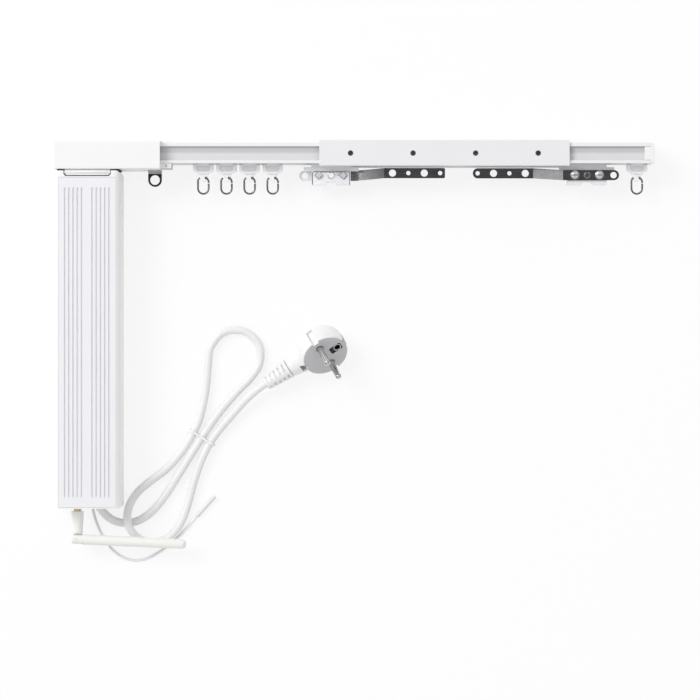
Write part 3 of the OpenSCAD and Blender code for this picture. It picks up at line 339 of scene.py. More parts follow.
def softened(node, radius_mm, crease=CREASE, finish=None):
    """A CAD node's shape with its sharp edges rounded, as a mould, a die or a coat of paint leaves them."""
    form = bmesh.new()
    form.from_mesh(NODES[node].data)
    bmesh.ops.remove_doubles(form, verts=form.verts, dist=NODE_WELD * MM)
    if radius_mm:
        bmesh.ops.dissolve_limit(form, angle_limit=math.radians(FLAT_ANGLE),
                                 verts=form.verts, edges=form.edges)
        sharp = [e for e in form.edges
                 if e.is_manifold and e.calc_face_angle(0) > math.radians(EDGE_ANGLE)]
        rounded(form, sharp, radius_mm, EDGE_STEPS, clamp=True)
    mesh = as_mesh(node, form)
    smooth(mesh, crease)
    made = piece(node + "_piece", mesh, SLOT_OF[node], BODY_OF[node], node, finish=finish)
    weigh = made.modifiers.new("weigh", "WEIGHTED_NORMAL")
    weigh.keep_sharp = True
    return made


# Cords

CORD_ROUNDING = 6


def flowing(points, steps=10):
    """Smooth line through the points, as a lead lies."""
    ends = [2 * points[0] - points[1], *points, 2 * points[-1] - points[-2]]
    line = []
    for a, b, c, d in zip(ends, ends[1:], ends[2:], ends[3:]):
        for k in range(steps):
            t = k / steps
            line.append(0.5 * (2 * b + (c - a) * t + (2 * a - 5 * b + 4 * c - d) * t**2
                               + (3 * b - a - 3 * c + d) * t**3))
    return line + [points[-1]]


def round_cord(name, line, diameter_mm, node, finish):
    """Round cord along a line, as a curve of one open spline."""
    curve = bpy.data.curves.new(name, "CURVE")
    curve.dimensions = "3D"
    curve.bevel_depth = diameter_mm / 2 * MM
    curve.bevel_resolution = CORD_ROUNDING
    curve.use_fill_caps = True
    spline = curve.splines.new("POLY")
    spline.points.add(len(line) - 1)
    for spot, p in zip(spline.points, line):
        spot.co = (*p, 1)
    spline.use_smooth = True
    curve.materials.append(MATERIALS[finish])
    made = placed(name, curve)
    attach(made, "frame")
    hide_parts(node)
    return made


# Plug: the middle of its face, its turns in degrees, and the neck's depth behind the face and its end
PLUG_AT = (186, 119.2, 24.6)
PLUG_TURN, PLUG_LIFT, PLUG_ROLL = -56, 5.8, 44.3
NECK_N, NECK_V = -12, -30
PLUG_FRAME = (
    Matrix.Translation(from_foot(*PLUG_AT))
    @ Matrix.Rotation(math.radians(PLUG_TURN), 4, "Z")
    @ Matrix.Rotation(math.radians(PLUG_LIFT), 4, "X")
    @ Matrix.Rotation(math.radians(PLUG_ROLL), 4, "Y")
)


def in_plug(u, v, n):
    """Point in metres, from millimetres along the pin line, away from the lead and along the pins."""
    return PLUG_FRAME @ (Vector((u, v, n)) * MM)


LEAD_D = 6.4
LEAD_POINTS = [
    (4.7, 3.3, 7.6), (7, 0, 7.5), (11, -5.3, 6), (17, -10.3, 4.4), (25, -12.8, 3.6), (33.5, -12.3, 3.4),
    (42, -8.8, 3.4), (50, -2.3, 3.4), (57.5, 6.7, 3.4), (64.5, 17.2, 3.5), (72, 29.2, 4), (80, 42.2, 4.6),
    (88, 54.7, 4.6), (97, 68.2, 4.4), (106.5, 80.5, 3.6), (116.8, 92, 3.4), (126.8, 102.2, 3.4),
    (133.6, 113.5, 3.4), (133, 128, 3.4), (121.4, 138.8, 3.4), (105.4, 138, 3.4), (95, 126.2, 3.4),
    (92.9, 113, 3.4), (92, 101.4, 3.6), (90.6, 89.6, 3.8), (88.2, 77.6, 4.3), (84.8, 66, 4.6),
    (77.2, 51.4, 4.6), (68.2, 38.5, 4.2), (58, 28.2, 3.8), (46.5, 19.6, 3.8), (36.8, 10.8, 5.6),
    (30.6, 0, 8.8), (29.8, -12, 11), (35.2, -22.4, 9), (45, -27.8, 5.8), (56, -27.4, 3.8),
    (65.2, -21.4, 3.4), (71.6, -12, 3.4), (76, -1, 3.4), (79.4, 11.4, 3.4), (83.2, 24.6, 3.8),
    (88, 37.7, 4.6), (94.6, 50.8, 4.6), (103, 62.2, 4.7), (112.5, 73.2, 6), (122.4, 84.2, 8.2),
    (132.5, 93.2, 10),
]
RELIEF_V = (-53, -42, -31)
LEAD_INTO_PLUG = [in_plug(0, v, NECK_N) for v in RELIEF_V]
AERIAL_D = 2.2
AERIAL_POINTS = [
    (1.8, 3.2, 4.6), (1.8, 0, 4.5), (2.6, -5.8, 3.8), (5, -13.8, 2.2), (9, -22.8, 1.3), (15, -31.8, 1.2),
    (23, -38.8, 1.2), (32, -42.3, 1.2), (42, -41.8, 1.2), (52, -37.3, 1.2), (61.5, -30.8, 1.2),
    (70.5, -22.8, 1.2), (82, -9.8, 1.7), (84, -7.4, 1.9),
]

lead_line = flowing([from_foot(*p) for p in LEAD_POINTS] + LEAD_INTO_PLUG)
aerial_line = flowing([from_foot(*p) for p in AERIAL_POINTS])
# The lead and the aerial take the greyer vinyl, painted shade
mains_lead = round_cord("mains_lead", lead_line, LEAD_D, "power_cord", "lead_vinyl_painted_shade")
aerial_wire = round_cord("aerial_wire", aerial_line, AERIAL_D, "antenna_wire", "lead_vinyl_painted_shade")


# Pieces kept from the frame, with their edges rounded, in millimetres
EDGE_RADII = {
    "joint_sleeve": 0.3, "head_housing": 0.45, "head_base": 0.3, "head_screws": 0.15,
    "end_eye_strap": 0.15, "end_eye": 0.4, "end_cap": 0.4, "motor_case": 0.4, "motor_panel": 0.2,
    "motor_head_cap": 0.35, "motor_foot_cap": 0.3, "case_screws": 0.15, "antenna_connector": 0.15,
    "left_carrier_block": 0.35, "right_carrier_block": 0.35, "right_carrier_screws": 0.3,
    "left_wheels_near": 0.25, "left_wheels_far": 0.25, "right_wheels_near": 0.25,
    "right_wheels_far": 0.25, "cord_gland": 0.2, "cord_tie": 0.3, "antenna_wire_tip": 0.5,
    "plug_pins": 0.3, "plug_earth_clips": 0.15,
}
GLIDERS = [f"glider_{i}" for i in range(1, 6)]
made_from = {node: softened(node, radius) for node, radius in EDGE_RADII.items()}
# The left arm's bends shade into its flats, and the right arm's stay crisp
for side, crease in (("left", 20), ("right", 6)):
    softened(f"{side}_carrier_arm", 0.2, crease=crease)
    # Each track takes the coat with painted shade on its web and a painted shadow under its upper rail
    softened(f"track_{side}", 0.25, finish="track_painted_shade")
softened("antenna_hinge_pin", 0.1, finish="antenna_white")
for node in ("antenna_base", "antenna_rod"):
    softened(node, 0, crease=35)
softened("left_carrier_screws", 0.2, finish="dull_zinc")
# The gliders take the whiter nylon, painted light against the shade under the track
for node in GLIDERS:
    made_from[node] = softened(node, 0.35, finish="glider_nylon_painted_light")
for node, shape in NODES.items():
    shape.data.materials.clear()
    shape.data.materials.append(MATERIALS[SLOT_OF[node]])


# Shapes to build with


def turned(profile, around=40):
    """Shape turned about Z from (radius, height) pairs in millimetres, from pole to pole or as a ring."""
    form = bmesh.new()
    turns = [2 * math.pi * k / around for k in range(around)]
    rings = [[form.verts.new((r * MM * math.cos(t), r * MM * math.sin(t), z * MM)) for t in turns]
             if r else [form.verts.new((0, 0, z * MM))] for r, z in profile]
    for low, high in zip(rings, rings[1:]):
        for k in range(around):
            j = (k + 1) % around
            corners = [low[k % len(low)], low[j % len(low)], high[j % len(high)], high[k % len(high)]]
            form.faces.new(list(dict.fromkeys(corners)))
    bmesh.ops.remove_doubles(form, verts=form.verts, dist=TURNED_WELD * MM)
    bmesh.ops.recalc_face_normals(form, faces=form.faces)
    return form


def rod(radius, start, end, around=40):
    """Plain round rod about Z between two heights, in millimetres."""
    return turned([(0, start), (radius, start), (radius, end), (0, end)], around)


def block(low, high, corner_mm=0.0):
    """Box between two corners in millimetres, its upright edges rounded."""
    form = bmesh.new()
    bmesh.ops.create_cube(form, size=1)
    for v in form.verts:
        v.co = [(a + b) / 2 * MM + c * (b - a) * MM for a, b, c in zip(low, high, v.co)]
    if corner_mm:
        upright = [e for e in form.edges if abs(e.verts[0].co.z - e.verts[1].co.z) > 1e-6]
        rounded(form, upright, corner_mm, CORNER_STEPS)
    return form


def moved(x, y, turn=0):
    """Move to a place in millimetres, after a turn about Z by degrees."""
    return Matrix.Translation((x * MM, y * MM, 0)) @ Matrix.Rotation(math.radians(turn), 4, "Z")


def thing(form, turn=None):
    """Loose helper object from a bmesh, moved or turned where asked."""
    return placed("helper", as_mesh("helper", form, turn))


def finished(made, name):
    """The object's mesh with its modifiers applied; the helper object goes."""
    shape = bpy.data.meshes.new_from_object(made.evaluated_get(bpy.context.evaluated_depsgraph_get()))
    shape.name = name
    bpy.data.objects.remove(made)
    return shape


def cut(made, tools):
    """Mesh of a helper object with the tools taken out of it; object and tools go."""
    for tool in tools:
        step = made.modifiers.new("cut", "BOOLEAN")
        step.object, step.operation, step.solver = tool, "DIFFERENCE", "EXACT"
    shape = finished(made, "cut")
    for tool in tools:
        bpy.data.objects.remove(tool)
    return shape


def carve(made, tools):
    """Takes the tools out of a finished piece."""
    made.data = cut(placed("helper", made.data.copy()), tools)
    smooth(made.data, CREASE)


def gathered(name, *meshes):
    """One mesh that holds several."""
    form = bmesh.new()
    for mesh in meshes:
        form.from_mesh(mesh)
    return as_mesh(name, form)


# Plug: a round head that flows into the neck of the lead; sizes in millimetres

PLUG_R, PLUG_D = 18.6, 24
FACE_N, CLEAR = -0.4, 4
PIN_OFF, PIN_R, PIN_END = 9.5, 2.44, -7
RECESS_R, RECESS_END = 3.2, -2.6
EARTH_V, EARTH_WIDE, EARTH_LONG, EARTH_FLOOR, EARTH_CORNER = 10, 3.7, 5.2, -1.7, 1.6
INSERT_WIDE, INSERT_LONG, INSERT_TOP, INSERT_CORNER = 3.5, 5, -1.2, 1.5
HOLE_V, HOLE_R, HOLE_END = 11.4, 2.6, -14
BORE_R, BORE_FROM, BORE_TO = 3.3, 2, -5
GROOVE_OUT, GROOVE_DEEP, GROOVE_HALF, GROOVE_END = 0.3, 3.2, 2.6, -15
CLIP_OUT, CLIP_DEEP, CLIP_HALF, CLIP_END = 0.6, 2.6, 3.3, -9
SLOT_TOP, FACE_TRIM = 3, (30, 30, 20)
SKIN_GRID, FLOW_SHARE, FLOW_TIMES, HEAD_SIDES, PLUG_CREASE = 0.7, 0.5, 12, 72, 42
# A facet is in the plug's face where it looks along the pins and lies this near the face
FACE_FACING, FACE_NEAR = 0.9, 0.05
HEAD_PROFILE = [Vector(p) for p in (
    (PLUG_R - 0.9, 0, 0), (PLUG_R + 0.1, 0, -1), (PLUG_R + 0.6, 0, -6), (PLUG_R + 0.3, 0, -12),
    (PLUG_R - 1, 0, -17), (PLUG_R - 4.8, 0, -20.8), (PLUG_R - 8.6, 0, -23), (4, 0, -PLUG_D + 0.1))]
NECK_PROFILE = [
    (0, 4), (11.6, 4), (11.6, 11), (10.8, 17), (9.4, 23), (8.5, 27), (8.2, -NECK_V), (0, -NECK_V)]
PIN_PROFILE = [
    (0, CLEAR), (RECESS_R, CLEAR), (RECESS_R, RECESS_END), (PIN_R, RECESS_END), (PIN_R, PIN_END),
    (0, PIN_END)]
SOCKET_PROFILE = [
    (0, -11.4), (HOLE_R - 0.02, -11.4), (HOLE_R - 0.02, -1.3), (HOLE_R - 0.3, -1.3), (HOLE_R - 0.3, -11),
    (0, -11)]
RIM_PROFILE = [
    (HOLE_R - 0.1, -1.3), (HOLE_R - 0.1, -0.75), (HOLE_R + 0.2, -0.55), (HOLE_R + 0.5, -0.55),
    (HOLE_R + 0.6, -0.75), (HOLE_R + 0.6, -1.3), (HOLE_R - 0.1, -1.3)]
# What is made about Z lies along the neck, or stands in the earth hole
LYING = Matrix.Translation((0, 0, NECK_N * MM)) @ Matrix.Rotation(math.radians(90), 4, "X")
TO_HOLE = moved(0, HOLE_V)

head_line = [(p.x, p.z) for p in flowing(HEAD_PROFILE, 5)]
head = thing(turned([(0, 0), *head_line, (0, -PLUG_D)], HEAD_SIDES))
neck = thing(turned(NECK_PROFILE, HEAD_SIDES), LYING)
join = head.modifiers.new("join", "BOOLEAN")
join.object, join.operation, join.solver = neck, "UNION", "EXACT"
skin = head.modifiers.new("skin", "REMESH")
skin.mode, skin.voxel_size = "VOXEL", SKIN_GRID * MM
flow = head.modifiers.new("flow", "SMOOTH")
flow.factor, flow.iterations = FLOW_SHARE, FLOW_TIMES
shell = finished(head, "plug_shell")
bpy.data.objects.remove(neck)
wide, deep, top = FACE_TRIM
tools = [
    thing(block((-wide, -deep, FACE_N), (wide, deep, top))),
    thing(block((-EARTH_WIDE, EARTH_V - EARTH_LONG, EARTH_FLOOR),
                (EARTH_WIDE, EARTH_V + EARTH_LONG, SLOT_TOP), EARTH_CORNER)),
    thing(rod(HOLE_R, CLEAR, HOLE_END), TO_HOLE),
    thing(rod(BORE_R, -NECK_V + BORE_FROM, -NECK_V + BORE_TO), LYING),
]
for side in (-1, 1):
    groove, clip = side * (PLUG_R + GROOVE_OUT), side * (PLUG_R + CLIP_OUT)
    tools += [
        thing(turned(PIN_PROFILE), moved(side * PIN_OFF, 0)),
        thing(block((groove - GROOVE_DEEP, -GROOVE_HALF, GROOVE_END),
                    (groove + GROOVE_DEEP, GROOVE_HALF, SLOT_TOP))),
        thing(block((-CLIP_HALF, clip - CLIP_DEEP, CLIP_END), (CLIP_HALF, clip + CLIP_DEEP, SLOT_TOP))),
    ]
plug_mesh = cut(placed("helper", shell), tools)
# Facets of the plug's face, which take the grey of painted shade
in_face = [p.normal.z > FACE_FACING and abs(p.center.z - FACE_N * MM) < FACE_NEAR * MM
           for p in plug_mesh.polygons]
plug_mesh.transform(PLUG_FRAME)
smooth(plug_mesh, PLUG_CREASE)
made_from["plug_body"] = piece("plug_body_piece", plug_mesh, "white_pvc", "frame", "plug_body")
# The face's grey is painted shade
plug_mesh.materials.append(MATERIALS["plug_face_painted_shade"])
plug_mesh.polygons.foreach_set("material_index", [int(f) for f in in_face])

# Dark insert with its socket, and the grey rim round the earth hole
plate = cut(thing(block((-INSERT_WIDE, EARTH_V - INSERT_LONG, EARTH_FLOOR),
                        (INSERT_WIDE, EARTH_V + INSERT_LONG, INSERT_TOP), INSERT_CORNER)),
            [thing(rod(HOLE_R, CLEAR, HOLE_END), TO_HOLE)])
insert = gathered("plug_earth_insert", plate, as_mesh("socket", turned(SOCKET_PROFILE), TO_HOLE))
insert.transform(PLUG_FRAME)
smooth(insert)
earth_insert = piece("plug_earth_insert", insert, "black_plastic", "frame")
rim = as_mesh("plug_earth_rim", turned(RIM_PROFILE), PLUG_FRAME @ TO_HOLE)
smooth(rim)
earth_rim = piece("plug_earth_rim", rim, "grey_nylon", "frame")


# Carriers: the left plate's seam and nut pockets, the cover on its tab, and what is in the middle holes

LEFT_BODY, RIGHT_BODY = BODY_OF["left_carrier_block"], BODY_OF["right_carrier_block"]
LEFT_X, RIGHT_X = [middle_of(f"{side}_carrier_block")[0] / MM for side in ("left", "right")]
ARM_DROP = 4
ARM_Y = HEAD_Y / MM - ARM_DROP
LEFT_FACE, RIGHT_FACE = 22.15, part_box("right_carrier_block")[1].z / MM
SEAM_OUTSIDE = (-14.9, -9, LEFT_FACE - 4), (14.9, 3, LEFT_FACE + 1), 1.8
SEAM_INSIDE = (-14.3, -10, LEFT_FACE - 5), (14.3, 2.4, LEFT_FACE + 2), 1.3
NUT_APART = 9.7
NUT_POCKET = (-2.5, -2.5, LEFT_FACE - 3), (2.5, 2.5, LEFT_FACE + 1)
TAB_OFF, TAB_HOLE_R, TAB_HOLE_FROM, TAB_HOLE_TO = 20.7, 2.5, 10, 16
TAB_COVER = (-TAB_OFF - 4.1, -4, 12.2), (-11, 4, 13.3), 3.9
EYELET_PROFILE = [
    (2.2, LEFT_FACE - 2), (2.2, LEFT_FACE + 0.3), (2.5, LEFT_FACE + 0.5), (2.9, LEFT_FACE + 0.35),
    (3.05, LEFT_FACE + 0.02), (2.4, LEFT_FACE - 2), (2.2, LEFT_FACE - 2)]
RIVET_PROFILE = [
    (0, RIGHT_FACE), (2.2, RIGHT_FACE), (2.2, RIGHT_FACE + 0.5), (1.7, RIGHT_FACE + 0.8),
    (0.9, RIGHT_FACE + 0.8), (0.6, RIGHT_FACE + 0.4), (0, RIGHT_FACE + 0.4)]
TO_PLATE = moved(LEFT_X, ARM_Y)

seam = placed("helper", cut(thing(block(*SEAM_OUTSIDE), TO_PLATE),
                            [thing(block(*SEAM_INSIDE), TO_PLATE)]))
pockets = [thing(block(*NUT_POCKET), moved(LEFT_X + side * NUT_APART, ARM_Y, 45)) for side in (-1, 1)]
carve(made_from["left_carrier_block"], [seam, *pockets])

cover = cut(thing(block(*TAB_COVER), TO_PLATE),
            [thing(rod(TAB_HOLE_R, TAB_HOLE_FROM, TAB_HOLE_TO), moved(LEFT_X - TAB_OFF, ARM_Y))])
smooth(cover)
piece("left_tab_cover", cover, "nylon", LEFT_BODY)
for name, body, x, slot, profile in (
    ("left_carrier_eyelet", LEFT_BODY, LEFT_X, "zinc_steel", EYELET_PROFILE),
    ("right_carrier_rivet", RIGHT_BODY, RIGHT_X, "black_screw", RIVET_PROFILE),
):
    shape = as_mesh(name, turned(profile), moved(x, ARM_Y))
    smooth(shape)
    piece(name, shape, slot, body)


# Gliders: grey panels in the recesses of their fronts, painted shade of those recesses, and the opening
# where the hook's wire goes in

PANEL_BACK, PANEL_FRONT, PANEL_EDGE = 2.3, 2.75, 0.06
PANEL_OUTLINE = [(-5.3, 3.6), (-5.3, 0.45), (-3.95, -0.8), (3.95, -0.8), (5.3, 0.45), (5.3, 3.6)]
WIRE_WAY = (1.1, -7.1, 0.1), (4.4, -4.9, 3), 1
for node in GLIDERS:
    middle = under_head(node)
    panel = bmesh.new()
    back, front = [[panel.verts.new(middle + Vector((x, y, z)) * MM) for x, y in PANEL_OUTLINE]
                   for z in (PANEL_BACK, PANEL_FRONT)]
    panel.faces.new(front)
    panel.faces.new(back[::-1])
    for k in range(len(PANEL_OUTLINE)):
        panel.faces.new((back[k - 1], back[k], front[k], front[k - 1]))
    bmesh.ops.recalc_face_normals(panel, faces=panel.faces)
    rounded(panel, panel.edges[:], PANEL_EDGE, PANEL_STEPS)
    shape = as_mesh(node + "_panel", panel)
    smooth(shape)
    # The panel's pale grey is painted shade of the recess
    piece(node + "_panel", shape, "nylon", BODY_OF[node], finish="glider_recess_painted_shade")
    carve(made_from[node], [thing(block(*WIRE_WAY), Matrix.Translation(middle))])


# Geometry trees, each with named inputs for its sizes and its finish


def new_group(name, inputs, output):
    """A geometry tree with its inputs, the finish last, and its output; with it, what comes in."""
    tree = bpy.data.node_groups.new(name, "GeometryNodeTree")
    for label, kind in (*inputs, ("Finish", "Material")):
        tree.interface.new_socket(label, in_out="INPUT", socket_type="NodeSocket" + kind)
    tree.interface.new_socket(output, in_out="OUTPUT", socket_type="NodeSocketGeometry")
    return tree, add(tree, "NodeGroupInput").outputs


def hand_out(tree, shape, finish, output):
    """Ends a geometry tree: copies made real, the finish set and the shape handed out."""
    real = add(tree, "GeometryNodeRealizeInstances", {0: shape})
    painted = add(tree, "GeometryNodeSetMaterial", {"Geometry": real.outputs[0], "Material": finish})
    add(tree, "NodeGroupOutput", {output: painted.outputs[0]})
    return tree


def wire_tree():
    """Geometry tree that draws a round wire of a given radius along a line of edges."""
    tree, given = new_group(
        "bent_wire", (("Line", "Geometry"), ("Wire Radius", "Float"), ("Sides", "Int")), "Wire")
    line = add(tree, "GeometryNodeMeshToCurve", {"Mesh": given["Line"]})
    ring = add(tree, "GeometryNodeCurvePrimitiveCircle",
               {"Resolution": given["Sides"], "Radius": given["Wire Radius"]}, mode="RADIUS")
    tube = add(tree, "GeometryNodeCurveToMesh",
               {"Curve": line.outputs[0], "Profile Curve": ring.outputs[0], "Fill Caps": True})
    round_off = add(tree, "GeometryNodeSetShadeSmooth", {0: tube.outputs[0]})
    return hand_out(tree, round_off.outputs[0], given["Finish"], "Wire")


def row_tree():
    """Geometry tree that sets copies of a thing in a row, each one narrower than the last."""
    tree, given = new_group(
        "row_of_things",
        (("Thing", "Geometry"), ("Count", "Int"), ("Step", "Vector"), ("Last Scale", "Float")), "Row")
    row = add(tree, "GeometryNodeMeshLine",
              {"Count": given["Count"], "Offset": given["Step"]}, mode="OFFSET")
    last = add(tree, "ShaderNodeMath", {0: given["Count"], 1: 1}, operation="SUBTRACT")
    size = add(tree, "ShaderNodeMapRange",
               {"Value": add(tree, "GeometryNodeInputIndex").outputs[0], "From Max": last.outputs[0],
                "To Min": 1, "To Max": given["Last Scale"]})
    flat = add(tree, "ShaderNodeCombineXYZ", {"X": size.outputs[0], "Y": size.outputs[0], "Z": 1})
    set_out = add(tree, "GeometryNodeInstanceOnPoints",
                  {"Points": row.outputs[0], "Instance": given["Thing"], "Scale": flat.outputs[0]})
    return hand_out(tree, set_out.outputs[0], given["Finish"], "Row")


def drawn(made, tree, name, inputs):
    """Mesh that a geometry tree makes of a helper object, with the inputs set by identifier."""
    draw = made.modifiers.new("draw", "NODES")
    draw.node_group = tree
    sockets = {i.name: i.identifier for i in tree.interface.items_tree if i.in_out == "INPUT"}
    for label, value in inputs.items():
        draw[sockets[label]] = value
    return finished(made, name)


WIRE_TREE, ROW_TREE = wire_tree(), row_tree()


def row_mesh(made, count, step_mm, last_scale, finish):
    """Mesh of a helper object set in a row; the step is in millimetres."""
    return drawn(made, ROW_TREE, "row", {"Count": count, "Step": [s * MM for s in step_mm],
                                         "Last Scale": last_scale, "Finish": MATERIALS[finish]})


# Hooks of bent wire, each in the eye of its glider

WIRE_R, WIRE_SIDES = 0.75, 14
HOOK_PATH = [
    (4.2, -9.9), (4.18, -9.1), (3.95, -8), (3.45, -7), (2.7, -6.25), (0.8, -6), (-1.5, -6), (-3, -6.2),
    (-3.9, -7.1), (-4.2, -8.6), (-4.2, -11.4), (-4.2, -14.2), (-3.64, -16.3), (-2.1, -17.84), (0, -18.4),
    (2.1, -17.84), (3.64, -16.3), (4.2, -14.2), (4.2, -12.3), (4.2, -10.4),
]
for i in range(1, 6):
    middle = under_head(f"hook_{i}")
    line = flowing([middle + Vector((x, y, 0)) * MM for x, y in HOOK_PATH], 4)
    path = bpy.data.meshes.new("path")
    path.from_pydata([tuple(p) for p in line], [(k, k + 1) for k in range(len(line) - 1)], [])
    shape = drawn(placed("helper", path), WIRE_TREE, f"hook_{i}_wire", {
        "Wire Radius": WIRE_R * MM, "Sides": WIRE_SIDES, "Finish": MATERIALS["spring_wire"]})
    smooth(shape)
    piece(f"hook_{i}_piece", shape, "dark_steel", BODY_OF[f"hook_{i}"], f"hook_{i}", finish="spring_wire")


# Four set screws in the sleeve's front, each with a chamfer and a hexagon socket

SET_COUNT, SET_R, SET_CHAMFER, SET_FOOT, SET_TOP = 4, 2.05, 0.45, 29.7, 33.95
SOCKET_R, SOCKET_DEEP = 1.3, 2.2
SET_SIDES, SET_CREASE = 48, 30
SET_PROFILE = [
    (0, SET_FOOT), (SET_R, SET_FOOT), (SET_R, SET_TOP - SET_CHAMFER), (SET_R - SET_CHAMFER, SET_TOP),
    (0, SET_TOP)]
low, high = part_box("sleeve_screws")
across = high.y - low.y
pitch = (high.x - low.x - across) / MM / (SET_COUNT - 1)
screw = placed("helper", cut(thing(turned(SET_PROFILE, SET_SIDES)),
                             [thing(rod(SOCKET_R, SET_TOP - SOCKET_DEEP, SET_TOP + 1, 6))]))
set_screws = row_mesh(screw, SET_COUNT, (pitch, 0, 0), 1, "black_screw")
set_screws.transform(Matrix.Translation((low.x + across / 2, low.y + across / 2, 0)))
smooth(set_screws, SET_CREASE)
piece("sleeve_screws_piece", set_screws, "black_screw", "frame", "sleeve_screws")


# Strain relief: rings that shrink along the lead, on a thin core with four bars

RELIEF_FROM, RELIEF_TO = NECK_V - 0.3, -52.5
RELIEF_R0, RELIEF_R1 = 7.9, 5.6
RELIEF_RINGS, RING_T, RING_SOFT, RING_ROUND, RING_SIDES = 6, 2.3, 0.5, 0.15, 56
CORE_R, CORE_START, CORE_FLARE = 4.1, -0.5, 0.5
BAR_HALF, BAR_TAPER, BAR_TURN, BAR_END = 1.5, 0.8, 22, 0.1
BAR_IN, BAR_R0, BAR_R1 = CORE_R - 1, RELIEF_R0 - 0.25, RELIEF_R1 - 0.2
RING_IN = CORE_R - 0.8
RING_PROFILE = [
    (0, 0), (RING_IN, 0), (RELIEF_R0 - RING_SOFT, 0), (RELIEF_R0 - RING_ROUND, RING_ROUND),
    (RELIEF_R0, RING_SOFT), (RELIEF_R0, RING_T - RING_SOFT),
    (RELIEF_R0 - RING_ROUND, RING_T - RING_ROUND), (RELIEF_R0 - RING_SOFT, RING_T), (RING_IN, RING_T),
    (0, RING_T)]
run = RELIEF_FROM - RELIEF_TO
step = (run - RING_T) / (RELIEF_RINGS - 1)
shrink = (BAR_R1 - BAR_IN) / (BAR_R0 - BAR_IN)

rings = row_mesh(thing(turned(RING_PROFILE, RING_SIDES)), RELIEF_RINGS, (0, 0, step),
                 RELIEF_R1 / RELIEF_R0, "white_pvc")
core = as_mesh("core", turned(
    [(0, CORE_START), (CORE_R + CORE_FLARE, CORE_START), (CORE_R, run), (0, run)]))
bars = []
for turn in (0, 90, 180, 270):
    bar = block((-BAR_HALF, BAR_IN, BAR_END), (BAR_HALF, BAR_R0, run - BAR_END))
    for v in bar.verts:
        if v.co.z > run * MM / 2:
            v.co.x *= BAR_TAPER
            v.co.y = BAR_IN * MM + (v.co.y - BAR_IN * MM) * shrink
    bars.append(as_mesh("bar", bar, moved(0, 0, turn + BAR_TURN)))
relief = gathered("plug_relief", rings, core, *bars)
relief.transform(PLUG_FRAME @ LYING @ Matrix.Translation((0, 0, -RELIEF_FROM * MM)))
smooth(relief, CREASE)
made_from["plug_relief"] = piece("plug_relief_piece", relief, "white_pvc", "frame", "plug_relief")


# Release latch: a bar with slanted lower corners, whose sloping top rises to the drive head

LATCH_HALF, LATCH_CUT, LATCH_EDGE = 17.9, 1.6, 0.35
LATCH_GAP, LATCH_SHOULDER, LATCH_UNDER_HEAD = 0.5, 0.4, 0.15
TOP_BACK, TOP_FRONT = 6, 2.6
low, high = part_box("release_latch")
low_y, mid_y = low.y + LATCH_GAP * MM, high.y - LATCH_SHOULDER * MM
top_y = HEAD_Y - LATCH_UNDER_HEAD * MM
outline = [(-LATCH_HALF, mid_y), (-LATCH_HALF, low_y + LATCH_CUT * MM), (-LATCH_HALF + LATCH_CUT, low_y),
           (LATCH_HALF - LATCH_CUT, low_y), (LATCH_HALF, low_y + LATCH_CUT * MM), (LATCH_HALF, mid_y)]
latch = bmesh.new()
back, front = [[latch.verts.new((AXIS_X + x * MM, y, z)) for x, y in outline] for z in (low.z, high.z)]
top_back, top_front = [
    [latch.verts.new((AXIS_X + x * MM, top_y, high.z - behind * MM)) for x in (-LATCH_HALF, LATCH_HALF)]
    for behind in (TOP_BACK, TOP_FRONT)]
latch.faces.new(front)
latch.faces.new(back[::-1])
for k in range(len(outline) - 1):
    latch.faces.new((back[k], back[k + 1], front[k + 1], front[k]))
latch.faces.new((front[0], front[-1], top_front[1], top_front[0]))
latch.faces.new((top_front[0], top_front[1], top_back[1], top_back[0]))
latch.faces.new((top_back[0], top_back[1], back[-1], back[0]))
latch.faces.new((back[0], front[0], top_front[0], top_back[0]))
latch.faces.new((front[-1], back[-1], top_back[1], top_front[1]))
bmesh.ops.recalc_face_normals(latch, faces=latch.faces)
rounded(latch, latch.edges[:], LATCH_EDGE, LATCH_STEPS)
latch_mesh = as_mesh("release_latch", latch)
smooth(latch_mesh, CREASE)
piece("release_latch_piece", latch_mesh, "white_abs", BODY_OF["release_latch"], "release_latch")

# Black strips in the gap between the drive head and the motor, one at each side of the latch: painted shade
# of the gap
GAP_SHADE_LOW, GAP_SHADE_HIGH, GAP_SHADE_BACK, GAP_SHADE_FRONT = -1.15, -0.05, 8, 37.8
for name, x0, x1 in (("left", -23.6, -19.4), ("right", 20.6, 25)):
    strip = as_mesh(name + "_painted_gap_shade", block((x0, GAP_SHADE_LOW, GAP_SHADE_BACK), (x1, GAP_SHADE_HIGH, GAP_SHADE_FRONT)),
                    Matrix.Translation((AXIS_X, HEAD_Y, 0)))
    # Each strip is black painted shade in the gap
    piece(name + "_painted_gap_shade", strip, "black_plastic", "frame", finish="belt_rubber")


# White paper floor and soft studio light


def looked_at(tree):
    """Socket that is 1 for rays from the camera, off shiny surfaces and through clear ones."""
    path = add(tree, "ShaderNodeLightPath").outputs
    seen = add(tree, "ShaderNodeMath",
               {0: path["Is Camera Ray"], 1: path["Is Glossy Ray"]}, operation="MAXIMUM")
    return add(tree, "ShaderNodeMath",
               {0: seen.outputs[0], 1: path["Is Transmission Ray"]}, operation="MAXIMUM").outputs[0]


# The sheet reaches 4 m to each side, a little below the part
FLOOR_HALF, FLOOR_Z = 4, -0.2
OWN_WHITE = 0.8
floor_mesh = bpy.data.meshes.new("floor")
floor_mesh.from_pydata(
    [(x * FLOOR_HALF, y * FLOOR_HALF, FLOOR_Z * MM) for x, y in ((-1, -1), (1, -1), (1, 1), (-1, 1))],
    [], [(0, 1, 2, 3)])
floor = placed("floor", floor_mesh)
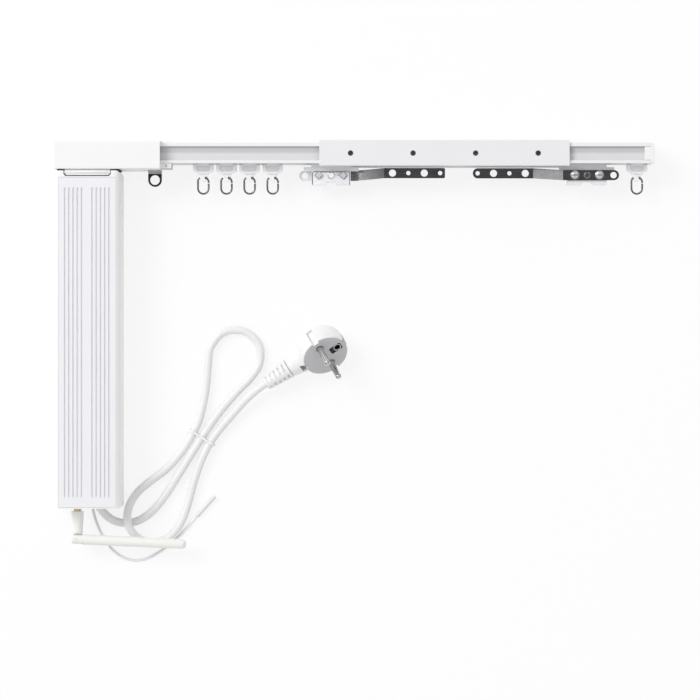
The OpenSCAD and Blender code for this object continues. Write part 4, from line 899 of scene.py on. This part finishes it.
# White paper: most of what the camera sees is the sheet's own white, the rest is the light on it
paper, tree = new_material("white_paper")
share = add(tree, "ShaderNodeMath", {0: looked_at(tree), 1: OWN_WHITE}, operation="MULTIPLY")
sheet = add(tree, "ShaderNodeBsdfDiffuse", {"Color": colour("#FCFCFC")})
glow = add(tree, "ShaderNodeEmission", {"Color": colour("#FFFFFF"), "Strength": 1})
both = add(tree, "ShaderNodeMixShader", {0: share.outputs[0], 1: sheet.outputs[0], 2: glow.outputs[0]})
add(tree, "ShaderNodeOutputMaterial", {"Surface": both.outputs[0]})
floor_mesh.materials.append(paper)
floor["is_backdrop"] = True

# Studio sky: pale, with a dark patch overhead and dark flags low down, which polished metal shows
SKY_SHOWN, SKY_LIGHT, SKY_OVERHEAD, SKY_FLAGS = 1.0, 0.75, 0.17, 0.08
PATCH_FROM, PATCH_FULL = 0.91, 0.985
FLAGS_FROM, FLAGS_TO, FLAGS_EDGE = 0.03, 0.55, 0.06
world = bpy.data.worlds.new("studio")
bpy.context.scene.world = world
world.use_nodes = True
tree = world.node_tree
tree.nodes.clear()
way = add(tree, "ShaderNodeSeparateXYZ", {0: add(tree, "ShaderNodeTexCoord").outputs["Generated"]})
# Each goes from one level to another between two heights in the sky
patch, flags_foot, flags_top = [
    add(tree, "ShaderNodeMapRange", {"Value": way.outputs["Z"], "From Min": start, "From Max": end,
                                     "To Min": first, "To Max": last}).outputs["Result"]
    for start, end, first, last in (
        (PATCH_FROM, PATCH_FULL, 1, SKY_OVERHEAD),
        (FLAGS_FROM, FLAGS_FROM + FLAGS_EDGE, 1, SKY_FLAGS),
        (FLAGS_TO, FLAGS_TO + FLAGS_EDGE, SKY_FLAGS, 1),
    )
]
flags = add(tree, "ShaderNodeMath", {0: flags_foot, 1: flags_top}, operation="MAXIMUM")
glossy = add(tree, "ShaderNodeLightPath").outputs["Is Glossy Ray"]
mirrored = add(tree, "ShaderNodeMix",
               {"Factor": glossy, "A": 1.0, "B": flags.outputs[0]}, data_type="FLOAT")
level = add(tree, "ShaderNodeMix",
            {"Factor": looked_at(tree), "A": SKY_LIGHT, "B": SKY_SHOWN}, data_type="FLOAT")
shaded = add(tree, "ShaderNodeMath", {0: patch, 1: mirrored.outputs["Result"]}, operation="MULTIPLY")
strength = add(tree, "ShaderNodeMath",
               {0: shaded.outputs[0], 1: level.outputs["Result"]}, operation="MULTIPLY")
sky = add(tree, "ShaderNodeBackground", {"Color": colour("#FFFFFF"), "Strength": strength.outputs[0]})
add(tree, "ShaderNodeOutputWorld", {"Surface": sky.outputs[0]})

# One square soft lamp, up to the left of the part and turned to its middle; metres and watts
KEY_AT, KEY_SIZE, KEY_POWER = Vector((-2.75, 1.9, 3.3)), 2.2, 100
light = bpy.data.lights.new("key", "AREA")
light.size, light.energy = KEY_SIZE, KEY_POWER
key = placed("key", light)
key.location = KEY_AT
key.rotation_euler = (-KEY_AT).to_track_quat("-Z", "Y").to_euler()

low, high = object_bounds()
